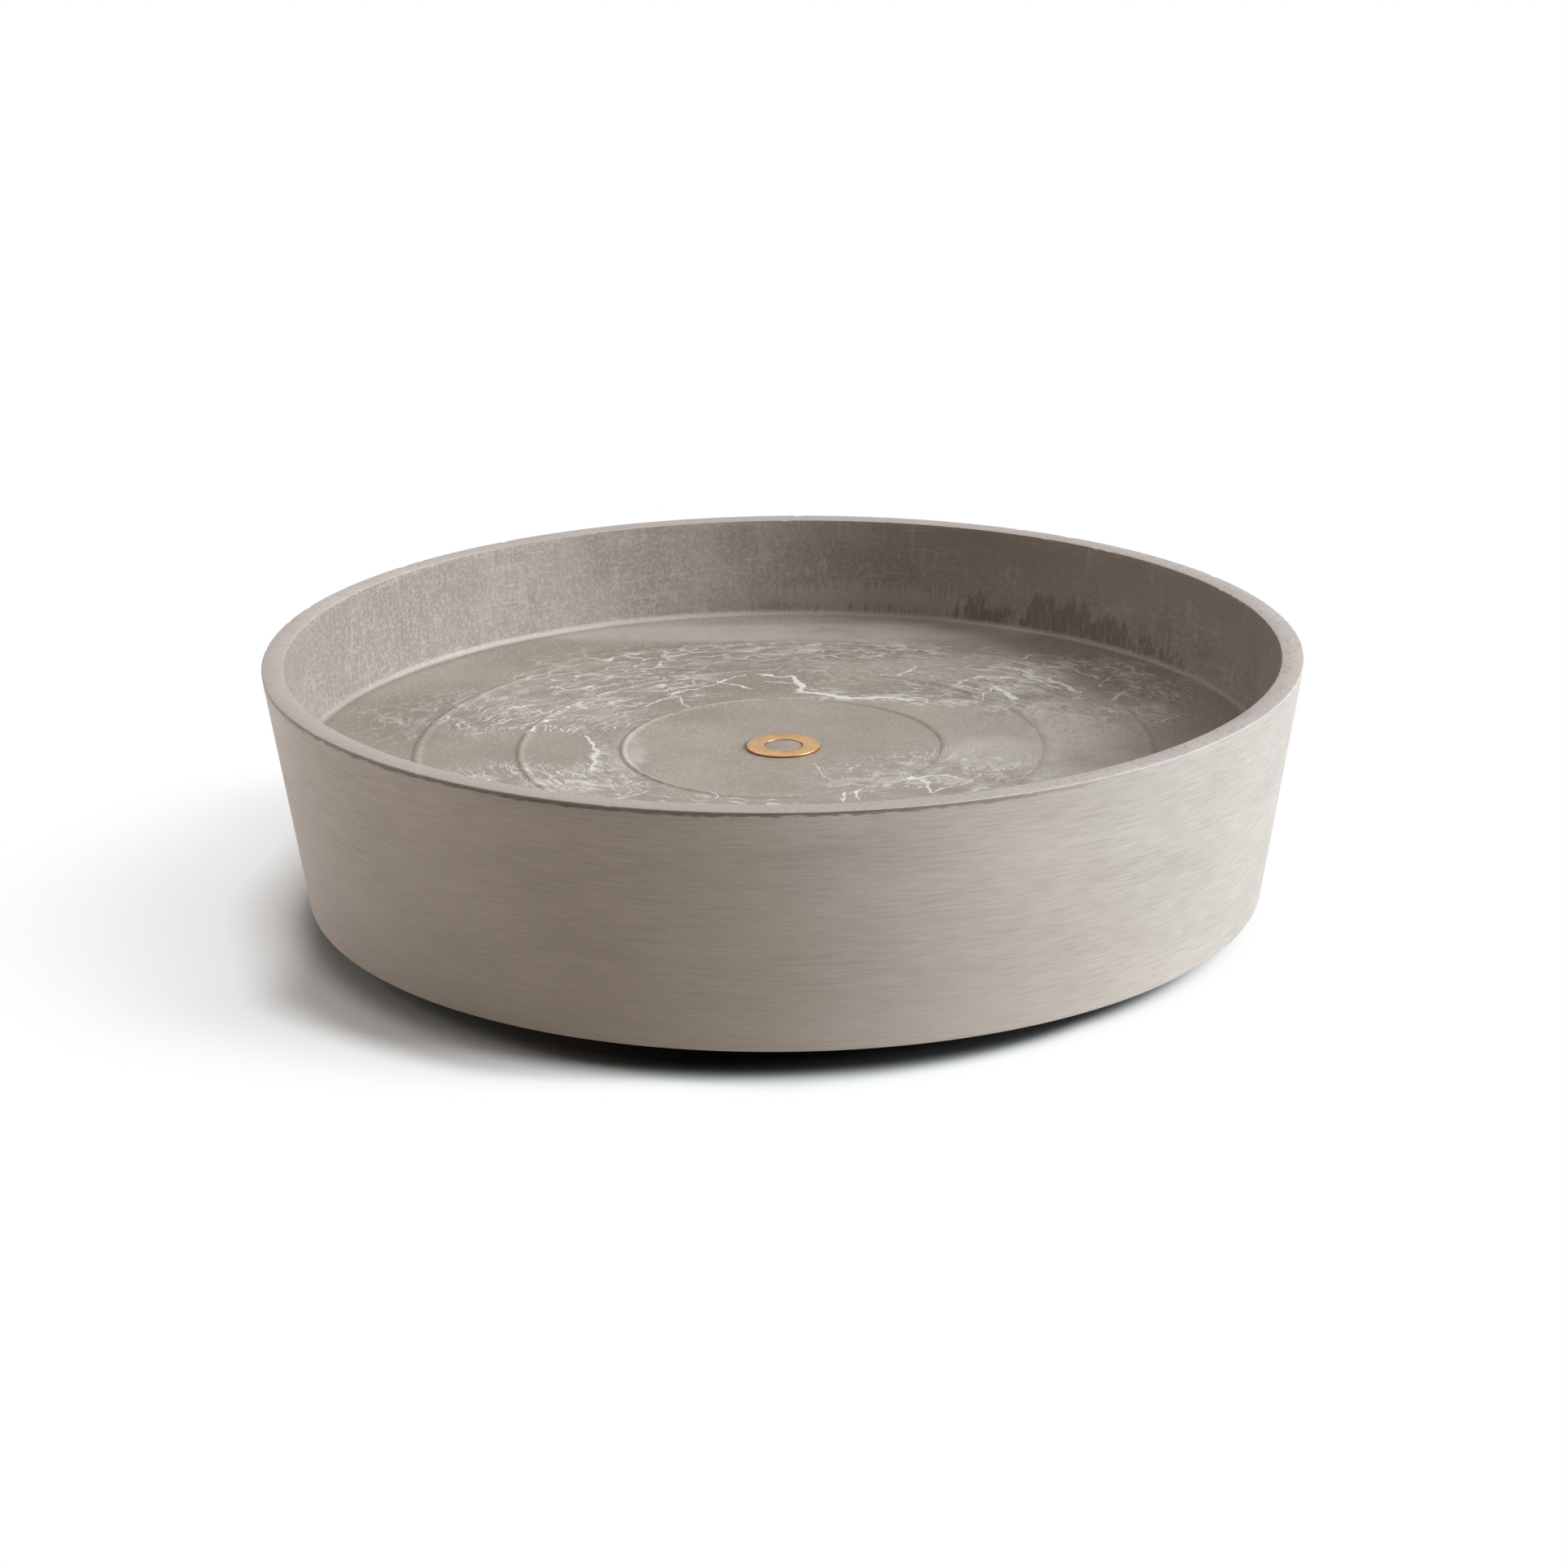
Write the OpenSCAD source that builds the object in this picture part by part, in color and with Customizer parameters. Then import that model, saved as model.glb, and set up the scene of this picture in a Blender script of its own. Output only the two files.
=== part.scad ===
// Rolling plant saucer: a round moulded dish that stands on four swivel casters, hidden by its own
// skirt, with a brass drain fitting and a plug at the middle of the floor.
// Millimetres, +Z up. The origin lies on the ground, on the axis of the dish.

/* [Dish] */
// Outer diameter of the rim
rim_d = 400; // [360:1:480]
// Width of the flat top of the rim
rim_w = 8.4; // [6:0.1:12]
// Lean of the outer wall from upright, in degrees
wall_lean = 8.67; // [4:0.1:12]
// Depth of the well, from the rim down to the floor
well_depth = 41; // [25:0.5:60]
// Lean of the well's wall from upright, in degrees
well_lean = 4.4; // [2:0.1:7]
// Radius of the fillet between the well's wall and its floor
well_fillet = 3.5; // [1:0.1:8]
// Thickness of the floor
floor_t = 7; // [6:0.1:12]
// Thickness of the skirt below the floor, measured level
skirt_t = 6; // [4:0.1:8]
// Radius of the fillet between the skirt and the underside of the floor
skirt_fillet = 3; // [1:0.1:6]
// Height of the skirt's lower edge above the ground
ground_gap = 9.6; // [4:0.1:16]
// Radius of the broken edges of the rim and the skirt
edge_r = 0.8; // [0.3:0.1:1.5]

/* [Beads on the floor] */
// Number of beads
bead_count = 3; // [1:1:3]
// Radius of the innermost bead
bead_first_r = 62.6; // [40:0.1:70]
// Distance from one bead to the next
bead_pitch = 40; // [20:0.1:42]
// Width of a bead at the floor
bead_w = 4.4; // [3:0.1:8]
// Width of the flat crown of a bead
bead_crown_w = 1.6; // [0.8:0.1:2.5]
// Height of a bead
bead_h = 1.1; // [0.6:0.1:2]

/* [Ribs under the floor] */
// Thickness of a rib
rib_t = 4; // [2:0.1:6]
// Depth of a rib below the floor
rib_h = 9; // [4:0.1:12]
// Inner radius of the ring that the ribs meet in
hub_ring_r = 24; // [20:0.1:40]

/* [Drain] */
// Diameter of the brass flange
flange_d = 28.6; // [26:0.1:34]
// Height of the flange above the floor
flange_t = 0.9; // [0.5:0.1:2]
// Diameter of the fitting's threaded spigot
spigot_d = 19.4; // [18:0.1:22]
// Length of the spigot below its nut
spigot_tail = 1.2; // [0.5:0.1:3]
// Diameter of the hole that shows in the flange
drain_d = 15; // [13:0.1:16]
// Diameter of the outlet below the plug's seat
outlet_d = 11; // [8:0.1:12]
// Depth of the plug's seat below the top of the flange
seat_depth = 3.8; // [2.5:0.1:6]
// Depth of the plug's top below the top of the flange
plug_drop = 0.4; // [0:0.1:1]
// Length of the plug's stem below the seat
plug_stem_l = 10; // [5:0.1:12]
// Chamfer at the end of the plug's stem
plug_chamfer = 0.8; // [0.3:0.1:1.5]
// Thickness of the rubber seal
seal_t = 2; // [1:0.1:3]
// Outer diameter of the rubber seal
seal_d = 29; // [26:0.1:34]
// Thickness of the drain nut
drain_nut_t = 4.5; // [3:0.1:6]
// Width of the drain nut across its flats
drain_nut_af = 27; // [24:0.1:32]

/* [Caster plates] */
// Clearance between the skirt and a wheel that swings past it
swing_clear = 11; // [4:0.1:30]
// Side of the square plate
plate_w = 44; // [40:0.5:50]
// Radius of the plate's corners
plate_corner_r = 5; // [2:0.1:8]
// Thickness of the plate
plate_t = 2.5; // [2:0.1:4]
// Distance between the plate's screw holes
screw_spacing = 33; // [31:0.1:36]
// Height of the moulded pad above a plate
pad_h = 3.6; // [2:0.1:6]
// Margin of the pad around the plate
pad_margin = 3; // [1:0.1:6]
// Clearance around the kingpin's head in the pocket of the pad
pocket_clear = 2; // [0.5:0.1:4]

/* [Screws] */
// Diameter of a screw's shank
screw_d = 4; // [3:0.1:5]
// Length of a screw below its head
screw_l = 10; // [6:0.5:11]
// Diameter of a screw's head
screw_head_d = 8; // [6:0.1:9]
// Height of a screw's head
screw_head_h = 2.2; // [1.5:0.1:2.6]
// Width of the arms of the cross recess
recess_w = 0.9; // [0.5:0.1:1.2]
// Length of the arms of the cross recess
recess_l = 4; // [2:0.1:5]
// Depth of the cross recess
recess_depth = 1.2; // [0.5:0.1:1.4]

/* [Swivel] */
// Diameter of the kingpin
kingpin_d = 6; // [5:0.1:8]
// Diameter of the kingpin's two heads
kingpin_head_d = 10.6; // [9:0.1:13]
// Height of the kingpin's two heads
kingpin_head_h = 1.6; // [1:0.1:2.5]
// Diameter of a bearing ball
ball_d = 4; // [3:0.1:4.5]
// Number of bearing balls in one ring
ball_count = 12; // [6:1:12]
// Radius of the ring of bearing balls
ball_ring_r = 10; // [9:0.1:11]
// Height of the space between plate and fork
race_gap = 3; // [2.5:0.1:3.5]

/* [Fork] */
// Diameter of the fork's crown
crown_d = 30; // [27:0.1:34]
// Thickness of the crown
crown_t = 2.5; // [2:0.1:4]
// Space between the crown and the top of the wheel
crown_clear = 3.5; // [3:0.1:8]
// Thickness of a cheek
cheek_t = 2; // [1.5:0.1:3]
// Length of a cheek where it meets the crown
cheek_root_l = 20; // [14:0.1:24]
// Radius of the eye around the axle
eye_r = 7; // [6:0.1:9]
// Distance from the kingpin's axis back to the axle
trail = 16; // [12:0.1:20]
// Direction that every wheel trails in at rest, in degrees from +X
trail_dir = 180; // [0:1:359]

/* [Wheel] */
// Diameter of the wheel
wheel_d = 40; // [34:0.5:46]
// Width of the tyre
tyre_w = 16; // [12:0.1:18]
// Radius of the tyre's shoulders
shoulder_r = 3; // [1:0.1:4]
// Thickness of the tyre on its hub
tyre_t = 5; // [3.5:0.1:7]
// Thickness of the hub's rim
hub_rim_t = 2.2; // [1.5:0.1:3]
// Width of the hub's rim
hub_rim_w = 14; // [10:0.1:15]
// Thickness of the hub's web
hub_web_t = 5; // [3:0.1:8]
// Outer diameter of the hub's sleeve
sleeve_d = 13; // [10:0.1:16]
// Length of the hub's sleeve
sleeve_l = 18; // [17:0.1:20]

/* [Axle] */
// Diameter of the axle bolt
axle_d = 6; // [5:0.1:8]
// Width of the bolt's head and nut across their flats
axle_af = 10; // [9:0.1:13]
// Height of the bolt's head
axle_head_h = 3.2; // [2:0.1:5]
// Height of the lock nut
axle_nut_h = 5; // [3:0.1:6]
// Length of bolt beyond the lock nut
axle_tail = 1.2; // [0.5:0.1:3]

/* [Fits] */
// Radial clearance of what turns or slides
run_clear = 0.05; // [0.02:0.01:0.1]
// Clearance of what is fixed in its seat
seat_clear = 0.02; // [0.01:0.01:0.05]
// Clearance under the kingpin's lower head and over the bearing balls
swivel_clear = 0.08; // [0.05:0.01:0.15]
// Clearance between the hub's sleeve and a cheek
side_clear = 0.4; // [0.2:0.1:1]

/* [Hidden] */
CASTERS = [1, 2, 3, 4];

// Smoothness of round shapes, and the overlap that joins or cuts cleanly
round_fn = 96;
dish_fn = 180;
arc_steps = 6;
bite = 1;

// Heights, built up from the ground
axle_z = wheel_d / 2;
crown_z = wheel_d + crown_clear;
crown_top_z = crown_z + crown_t;
plate_z = crown_top_z + race_gap;
pad_z = plate_z + plate_t;
under_z = pad_z + pad_h;
floor_z = under_z + floor_t;
rim_z = floor_z + well_depth;
flange_z = floor_z + flange_t;
plug_top_z = flange_z - plug_drop;
seat_z = flange_z - seat_depth;
plug_foot_z = seat_z + seat_clear;
seal_z = under_z - seal_t;
drain_nut_z = seal_z - drain_nut_t;
spigot_z = drain_nut_z - spigot_tail;
rib_z = under_z - rib_h;
ball_z = crown_top_z + race_gap / 2;

// Radii and widths of the dish
rim_r = rim_d / 2;
drain_hole_r = spigot_d / 2 + seat_clear;
function wall_r(z) = rim_r - (rim_z - z) * tan(wall_lean);
function skirt_r(z) = wall_r(z) - skirt_t;
function well_r(z) = rim_r - rim_w - (rim_z - z) * tan(well_lean);

// Sizes of the caster's pieces that follow from their neighbours
pad_w = plate_w + 2 * pad_margin;
pocket_r = kingpin_head_d / 2 + pocket_clear;
pocket_h = kingpin_head_h + swivel_clear;
screw_hole_r = screw_d / 2 + seat_clear;
race_r = ball_d / 2 + swivel_clear;
cheek_in = sleeve_l / 2 + side_clear;
cheek_out = cheek_in + cheek_t;
tyre_r = wheel_d / 2;
hub_r = tyre_r - tyre_t;
swing_r = norm([trail + tyre_r, tyre_w / 2]);
caster_circle_r = skirt_r(ground_gap) - swing_r - swing_clear;
rib_angles = [0 : 45 : 315];

// Where kingpin number n stands, as an angle about the dish's axis
function caster_angle(n) = 45 + 90 * (n - 1);

// Outlines
function unit(v) = v / norm(v);
function turned(v, a) = [v.x * cos(a) - v.y * sin(a), v.x * sin(a) + v.y * cos(a)];

// Points of the arc of radius r that rounds corner b between its neighbours a and c
function rounded(a, b, c, r) =
    let (
        u = unit(a - b),
        w = unit(c - b),
        half = acos(u * w) / 2,
        centre = b + unit(u + w) * r / sin(half),
        first = b + u * r / tan(half) - centre,
        last = b + w * r / tan(half) - centre,
        turn = (180 - 2 * half) * sign(cross(first, last))
    )
    [for (i = [0 : arc_steps]) centre + turned(first, turn * i / arc_steps)];

// One bead's outline from its outer foot over the flat crown to its inner foot
function bead(r) =
    let (side = (bead_w - bead_crown_w) / 2, rise = 90 / arc_steps)
    concat(
        [for (a = [0 : rise : 90]) [r + bead_crown_w / 2 + side * cos(a), floor_z + bead_h * sin(a)]],
        [for (a = [90 : rise : 180]) [r - bead_crown_w / 2 + side * cos(a), floor_z + bead_h * sin(a)]]
    );

// The dish's outline from the underside of the floor round the skirt, wall, rim and well
skirt_top = [skirt_r(under_z), under_z];
skirt_in = [skirt_r(ground_gap), ground_gap];
skirt_out = [wall_r(ground_gap), ground_gap];
rim_out = [rim_r, rim_z];
rim_in = [rim_r - rim_w, rim_z];
well_foot = [well_r(floor_z), floor_z];
floor_mid = [drain_hole_r, floor_z];
under_mid = [drain_hole_r, under_z];
dish_outline = concat(
    [under_mid],
    rounded(under_mid, skirt_top, skirt_in, skirt_fillet),
    rounded(skirt_top, skirt_in, skirt_out, edge_r),
    rounded(skirt_in, skirt_out, rim_out, edge_r),
    rounded(skirt_out, rim_out, rim_in, edge_r),
    rounded(rim_out, rim_in, well_foot, edge_r),
    rounded(rim_in, well_foot, floor_mid, well_fillet),
    [for (i = [bead_count - 1 : -1 : 0]) each bead(bead_first_r + i * bead_pitch)],
    [floor_mid]
);

// The point where the line from p touches the circle of radius r about c, on side 1 or -1
function touch(p, c, r, side) =
    let (d = p - c)
    c + turned(unit(d) * r, side * acos(r / norm(d)));

// Shapes that repeat
module tube(outer_r, inner_r, h) {
    difference() {
        cylinder(r = outer_r, h = h, $fn = round_fn);
        translate([0, 0, -bite])
            cylinder(r = inner_r, h = h + 2 * bite, $fn = round_fn);
    }
}

module hexagon(af, h) {
    cylinder(d = af / cos(30), h = h, $fn = 6);
}

module rounded_square(w, r) {
    square([w, w - 2 * r], center = true);
    square([w - 2 * r, w], center = true);
    for (x = [-1, 1], y = [-1, 1])
        translate([x * (w / 2 - r), y * (w / 2 - r)])
            circle(r = r, $fn = round_fn);
}

// Places its children on the axis of kingpin n, square to the dish's radius
module at_kingpin(n) {
    rotate(caster_angle(n))
        translate([caster_circle_r, 0, 0])
            children();
}

// Places its children on the axis of kingpin n, with +X the way the wheel trails
module at_fork(n) {
    at_kingpin(n)
        rotate(trail_dir - caster_angle(n))
            children();
}

// Places its children on the axle of caster n, with +Z along the axle
module at_axle(n) {
    at_fork(n)
        translate([trail, 0, axle_z])
            rotate([-90, 0, 0])
                children();
}

// Places its children at the four screws of one plate
module at_screws() {
    for (x = [-1, 1], y = [-1, 1])
        translate([x * screw_spacing / 2, y * screw_spacing / 2, 0])
            children();
}

// The moulded dish, with its ribs, caster pads and screw holes
module ribs() {
    translate([0, 0, rib_z])
        tube(hub_ring_r + rib_t, hub_ring_r, rib_h + bite);
    for (a = rib_angles)
        rotate(a)
            translate([hub_ring_r + rib_t / 2, -rib_t / 2, rib_z])
                cube([skirt_r(rib_z) + skirt_t / 2 - hub_ring_r - rib_t / 2, rib_t, rib_h + bite]);
}

module saucer_shell() {
    color("#a39b91")
        difference() {
            union() {
                rotate_extrude($fn = dish_fn)
                    polygon(dish_outline);
                difference() {
                    ribs();
                    for (n = CASTERS)
                        at_kingpin(n)
                            translate([-pad_w / 2, -pad_w / 2, rib_z - bite])
                                cube([pad_w, pad_w, rib_h - pad_h + bite]);
                }
                for (n = CASTERS)
                    at_kingpin(n)
                        translate([-pad_w / 2, -pad_w / 2, pad_z])
                            cube([pad_w, pad_w, pad_h + bite]);
            }
            for (n = CASTERS)
                at_kingpin(n) {
                    translate([0, 0, pad_z - bite])
                        cylinder(r = pocket_r, h = pocket_h + bite, $fn = round_fn);
                    at_screws()
                        translate([0, 0, pad_z - bite])
                            cylinder(r = screw_hole_r, h = screw_l - plate_t + bite + seat_clear, $fn = round_fn);
                }
        }
}

// The brass fitting: a flange on the floor and a spigot through it, with a stepped bore
module drain_ring() {
    color("#c9a36b")
        difference() {
            union() {
                translate([0, 0, floor_z])
                    cylinder(d = flange_d, h = flange_t, $fn = round_fn);
                translate([0, 0, spigot_z])
                    cylinder(d = spigot_d, h = flange_z - spigot_z, $fn = round_fn);
            }
            translate([0, 0, seat_z])
                cylinder(d = drain_d, h = seat_depth + bite, $fn = round_fn);
            translate([0, 0, spigot_z - bite])
                cylinder(d = outlet_d, h = flange_z - spigot_z, $fn = round_fn);
        }
}

// The rubber washer between the floor and the drain nut
module drain_seal() {
    color("#3a3936")
        translate([0, 0, seal_z])
            tube(seal_d / 2, drain_hole_r, seal_t);
}

// The back nut that clamps the brass fitting to the floor
module drain_nut() {
    color("#b8935c")
        translate([0, 0, drain_nut_z])
            difference() {
                hexagon(drain_nut_af, drain_nut_t);
                translate([0, 0, -bite])
                    cylinder(r = drain_hole_r, h = drain_nut_t + 2 * bite, $fn = round_fn);
            }
}

// The plug: a flush head in the fitting's seat and a stem in its outlet
module drain_plug() {
    color("#a39c95") {
        translate([0, 0, plug_foot_z])
            cylinder(r = drain_d / 2 - run_clear, h = plug_top_z - plug_foot_z, $fn = round_fn);
        translate([0, 0, seat_z - plug_stem_l + plug_chamfer])
            cylinder(r = outlet_d / 2 - run_clear, h = plug_stem_l - plug_chamfer + bite, $fn = round_fn);
        translate([0, 0, seat_z - plug_stem_l])
            cylinder(
                r1 = outlet_d / 2 - run_clear - plug_chamfer,
                r2 = outlet_d / 2 - run_clear,
                h = plug_chamfer,
                $fn = round_fn
            );
    }
}

// One pan-head screw, standing on the underside of its plate with its shank up
module screw() {
    difference() {
        union() {
            cylinder(d = screw_d, h = screw_l, $fn = round_fn);
            translate([0, 0, -screw_head_h])
                cylinder(d = screw_head_d, h = screw_head_h, $fn = round_fn);
        }
        for (a = [0, 90])
            rotate(a)
                translate([-recess_l / 2, -recess_w / 2, -screw_head_h - bite])
                    cube([recess_l, recess_w, recess_depth + bite]);
    }
}

module caster_screws() {
    color("silver")
        for (n = CASTERS)
            at_kingpin(n)
                at_screws()
                    translate([0, 0, plate_z])
                        screw();
}

// A ring groove that the bearing balls run in
module ball_race() {
    translate([0, 0, ball_z])
        rotate_extrude($fn = round_fn)
            translate([ball_ring_r, 0])
                circle(r = race_r, $fn = round_fn);
}

module caster_plate(n) {
    color("silver")
        at_kingpin(n)
            difference() {
                translate([0, 0, plate_z])
                    linear_extrude(plate_t)
                        rounded_square(plate_w, plate_corner_r);
                translate([0, 0, plate_z - bite])
                    cylinder(r = kingpin_d / 2 + seat_clear, h = plate_t + 2 * bite, $fn = round_fn);
                at_screws()
                    translate([0, 0, plate_z - bite])
                        cylinder(r = screw_hole_r, h = plate_t + 2 * bite, $fn = round_fn);
                ball_race();
            }
}

// The rivet that the fork turns on, headed over the plate and under the crown
module kingpin(n) {
    color("gainsboro")
        at_kingpin(n) {
            low_z = crown_z - swivel_clear - kingpin_head_h;
            translate([0, 0, low_z])
                cylinder(d = kingpin_head_d, h = kingpin_head_h, $fn = round_fn);
            translate([0, 0, low_z])
                cylinder(d = kingpin_d, h = pad_z + kingpin_head_h - low_z, $fn = round_fn);
            translate([0, 0, pad_z])
                cylinder(d = kingpin_head_d, h = kingpin_head_h, $fn = round_fn);
        }
}

module bearing_balls(n) {
    color("white")
        at_fork(n)
            for (i = [0 : ball_count - 1])
                rotate(i * 360 / ball_count)
                    translate([ball_ring_r, 0, ball_z])
                        sphere(d = ball_d, $fn = round_fn / 2);
}

// The side outline of a cheek: a straight root at the crown that narrows to the axle's eye
module cheek_outline() {
    eye = [trail, axle_z];
    root_front = [-cheek_root_l / 2, crown_top_z];
    root_back = [cheek_root_l / 2, crown_top_z];
    polygon([root_front, touch(root_front, eye, eye_r, 1), eye, touch(root_back, eye, eye_r, -1), root_back]);
    translate(eye)
        circle(r = eye_r, $fn = round_fn);
}

module fork(n) {
    color("silver")
        at_fork(n)
            difference() {
                union() {
                    intersection() {
                        translate([0, 0, crown_z])
                            cylinder(d = crown_d, h = crown_t, $fn = round_fn);
                        translate([-crown_d / 2, -cheek_out, crown_z - bite])
                            cube([crown_d, 2 * cheek_out, crown_t + 2 * bite]);
                    }
                    for (y = [-cheek_out, cheek_in])
                        translate([0, y + cheek_t, 0])
                            rotate([90, 0, 0])
                                linear_extrude(cheek_t)
                                    cheek_outline();
                }
                translate([0, 0, crown_z - bite])
                    cylinder(r = kingpin_d / 2 + run_clear, h = crown_t + 2 * bite, $fn = round_fn);
                ball_race();
                translate([trail, cheek_out + bite, axle_z])
                    rotate([90, 0, 0])
                        cylinder(r = axle_d / 2 + seat_clear, h = 2 * (cheek_out + bite), $fn = round_fn);
            }
}

// The bolt that the wheel turns on, with its head against one cheek
module axle_bolt(n) {
    shank_l = 2 * cheek_out + axle_nut_h + axle_tail;
    color("gainsboro")
        at_axle(n) {
            translate([0, 0, -cheek_out])
                cylinder(d = axle_d, h = shank_l, $fn = round_fn);
            translate([0, 0, -cheek_out - axle_head_h])
                hexagon(axle_af, axle_head_h);
        }
}

module axle_nut(n) {
    color("gainsboro")
        at_axle(n)
            translate([0, 0, cheek_out])
                difference() {
                    hexagon(axle_af, axle_nut_h);
                    translate([0, 0, -bite])
                        cylinder(r = axle_d / 2 + seat_clear, h = axle_nut_h + 2 * bite, $fn = round_fn);
                }
}

// The plastic hub: a sleeve on the axle, a web and a rim under the tyre
module wheel_hub(n) {
    color("#2f2f31")
        at_axle(n) {
            translate([0, 0, -sleeve_l / 2])
                tube(sleeve_d / 2, axle_d / 2 + run_clear, sleeve_l);
            translate([0, 0, -hub_web_t / 2])
                tube(hub_r - hub_rim_t / 2, sleeve_d / 2 - bite, hub_web_t);
            translate([0, 0, -hub_rim_w / 2])
                tube(hub_r, hub_r - hub_rim_t, hub_rim_w);
        }
}

// The soft tyre, with rounded shoulders
module wheel_tyre(n) {
    in_low = [hub_r + seat_clear, -tyre_w / 2];
    out_low = [tyre_r, -tyre_w / 2];
    out_high = [tyre_r, tyre_w / 2];
    in_high = [hub_r + seat_clear, tyre_w / 2];
    color("#6f6f70")
        at_axle(n)
            rotate_extrude($fn = round_fn)
                polygon(concat(
                    [in_low],
                    rounded(in_low, out_low, out_high, shoulder_r),
                    rounded(out_low, out_high, in_high, shoulder_r),
                    [in_high]
                ));
}

saucer_shell();
drain_ring();
drain_seal();
drain_nut();
drain_plug();
caster_screws();
for (n = CASTERS) {
    caster_plate(n);
    kingpin(n);
    bearing_balls(n);
    fork(n);
    axle_bolt(n);
    axle_nut(n);
    wheel_hub(n);
    wheel_tyre(n);
}
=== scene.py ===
import math
import random

import bmesh
import bpy
from mathutils import Matrix, Vector, noise


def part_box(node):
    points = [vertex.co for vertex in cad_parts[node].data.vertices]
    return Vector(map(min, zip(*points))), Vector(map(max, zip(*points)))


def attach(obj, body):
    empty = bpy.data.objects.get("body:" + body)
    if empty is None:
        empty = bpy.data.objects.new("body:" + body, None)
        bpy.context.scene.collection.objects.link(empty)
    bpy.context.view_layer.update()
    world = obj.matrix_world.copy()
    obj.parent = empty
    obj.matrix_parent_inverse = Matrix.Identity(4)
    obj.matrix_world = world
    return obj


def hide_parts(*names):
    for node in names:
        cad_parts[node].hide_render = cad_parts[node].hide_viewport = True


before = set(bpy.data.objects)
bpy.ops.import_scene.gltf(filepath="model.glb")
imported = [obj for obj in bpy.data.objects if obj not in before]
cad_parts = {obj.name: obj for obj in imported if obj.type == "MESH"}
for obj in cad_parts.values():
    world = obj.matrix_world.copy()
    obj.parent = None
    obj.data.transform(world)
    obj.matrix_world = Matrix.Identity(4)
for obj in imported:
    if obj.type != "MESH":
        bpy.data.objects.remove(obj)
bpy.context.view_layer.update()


# Saucer shell
# One thick moulding of taupe, mineral-filled resin: a shallow well on a deep skirt that hides the casters.
# Its wall is brushed round and round, its rim is trimmed flat, and lime has crept in veins over its floor.
mm = 0.001
shell_low, shell_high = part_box("saucer_shell")
plate_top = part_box("caster_plate_1")[1].z
rim_z = shell_high.z
skirt_z = shell_low.z
under_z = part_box("drain_seal")[1].z
rim_r = 200 * mm
rim_w = 8.4 * mm
floor_t = 7 * mm
floor_z = under_z + floor_t
skirt_t = 6 * mm
spigot_r = 9.72 * mm
wall_slope = math.tan(math.radians(8.67))
well_slope = math.tan(math.radians(4.4))
edge_r = 0.8 * mm
well_fillet = 2 * mm
skirt_fillet = 3 * mm
bead_rs = [62.6 * mm, 102.6 * mm, 142.6 * mm]
bead_ws = [3 * mm, 3.6 * mm, 4.2 * mm]
bead_crown = 0.33
bead_hs = [0.55 * mm, 0.5 * mm, 0.42 * mm]
lip_h = 1.3 * mm
rim_bevel_w = 0.2 * mm
rim_bevel_h = 0.3 * mm
box_clear = 0.003 * mm
near = 0.01 * mm
weld_gap = 0.001 * mm
crease = math.radians(30)
shell_steps = 720


def wall_r(z):
    return rim_r - (rim_z - z) * wall_slope


def well_r(z):
    return rim_r - rim_w - (rim_z - z) * well_slope


def alone(piece):
    """Leaves this piece selected and active, and everything else out."""
    bpy.ops.object.select_all(action="DESELECT")
    piece.select_set(True)
    bpy.context.view_layer.objects.active = piece


def choose(piece, kind, wanted):
    """In edit mode, selects the verts, edges or faces whose middle wanted() accepts, and nothing else."""
    bpy.ops.mesh.select_mode(type={"verts": "VERT", "edges": "EDGE", "faces": "FACE"}[kind])
    bpy.ops.mesh.select_all(action="DESELECT")
    mesh = bmesh.from_edit_mesh(piece.data)
    for part in getattr(mesh, kind):
        points = [part] if kind == "verts" else part.verts
        middle = sum((point.co for point in points), Vector()) / len(points)
        if wanted(middle):
            part.select_set(True)
    bmesh.update_edit_mesh(piece.data)


def draw(name, points):
    """Draws a wire through (radius, height) points, each drawn out of the last, and stays in edit mode."""
    bpy.ops.object.select_all(action="DESELECT")
    bpy.ops.mesh.primitive_plane_add(size=mm)
    wire = bpy.context.object
    wire.name = name
    bpy.ops.object.mode_set(mode="EDIT")
    bpy.ops.mesh.select_mode(type="VERT")
    bpy.ops.mesh.select_all(action="SELECT")
    bpy.ops.mesh.merge(type="CENTER")
    bpy.ops.transform.translate(value=(points[0][0], 0, points[0][1]))
    for here, there in zip(points, points[1:]):
        step = (there[0] - here[0], 0, there[1] - here[1])
        bpy.ops.mesh.extrude_region_move(TRANSFORM_OT_translate={"value": step})
    return wire


def soften(wire, corner, reach, segments=6):
    """Rounds one corner of a wire, starting at reach before and after it."""
    spot = Vector((corner[0], 0, corner[1]))
    choose(wire, "verts", lambda co: (co - spot).length < near)
    bpy.ops.mesh.bevel(offset=reach, segments=segments, affect="VERTICES")


def turn(wire, steps):
    """Turns a wire that is closed or ends on the Z axis into a closed skin, and leaves edit mode."""
    bpy.ops.mesh.select_all(action="SELECT")
    bpy.ops.mesh.remove_doubles(threshold=weld_gap)
    bpy.ops.object.mode_set(mode="OBJECT")
    lathe = wire.modifiers.new("lathe", "SCREW")
    lathe.steps = lathe.render_steps = steps
    bpy.ops.object.modifier_apply(modifier=lathe.name)
    bpy.ops.object.mode_set(mode="EDIT")
    bpy.ops.mesh.select_all(action="SELECT")
    bpy.ops.mesh.remove_doubles(threshold=weld_gap)
    bpy.ops.mesh.normals_make_consistent(inside=False)
    bpy.ops.object.mode_set(mode="OBJECT")
    bpy.ops.object.shade_smooth_by_angle(angle=crease)
    return wire


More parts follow.
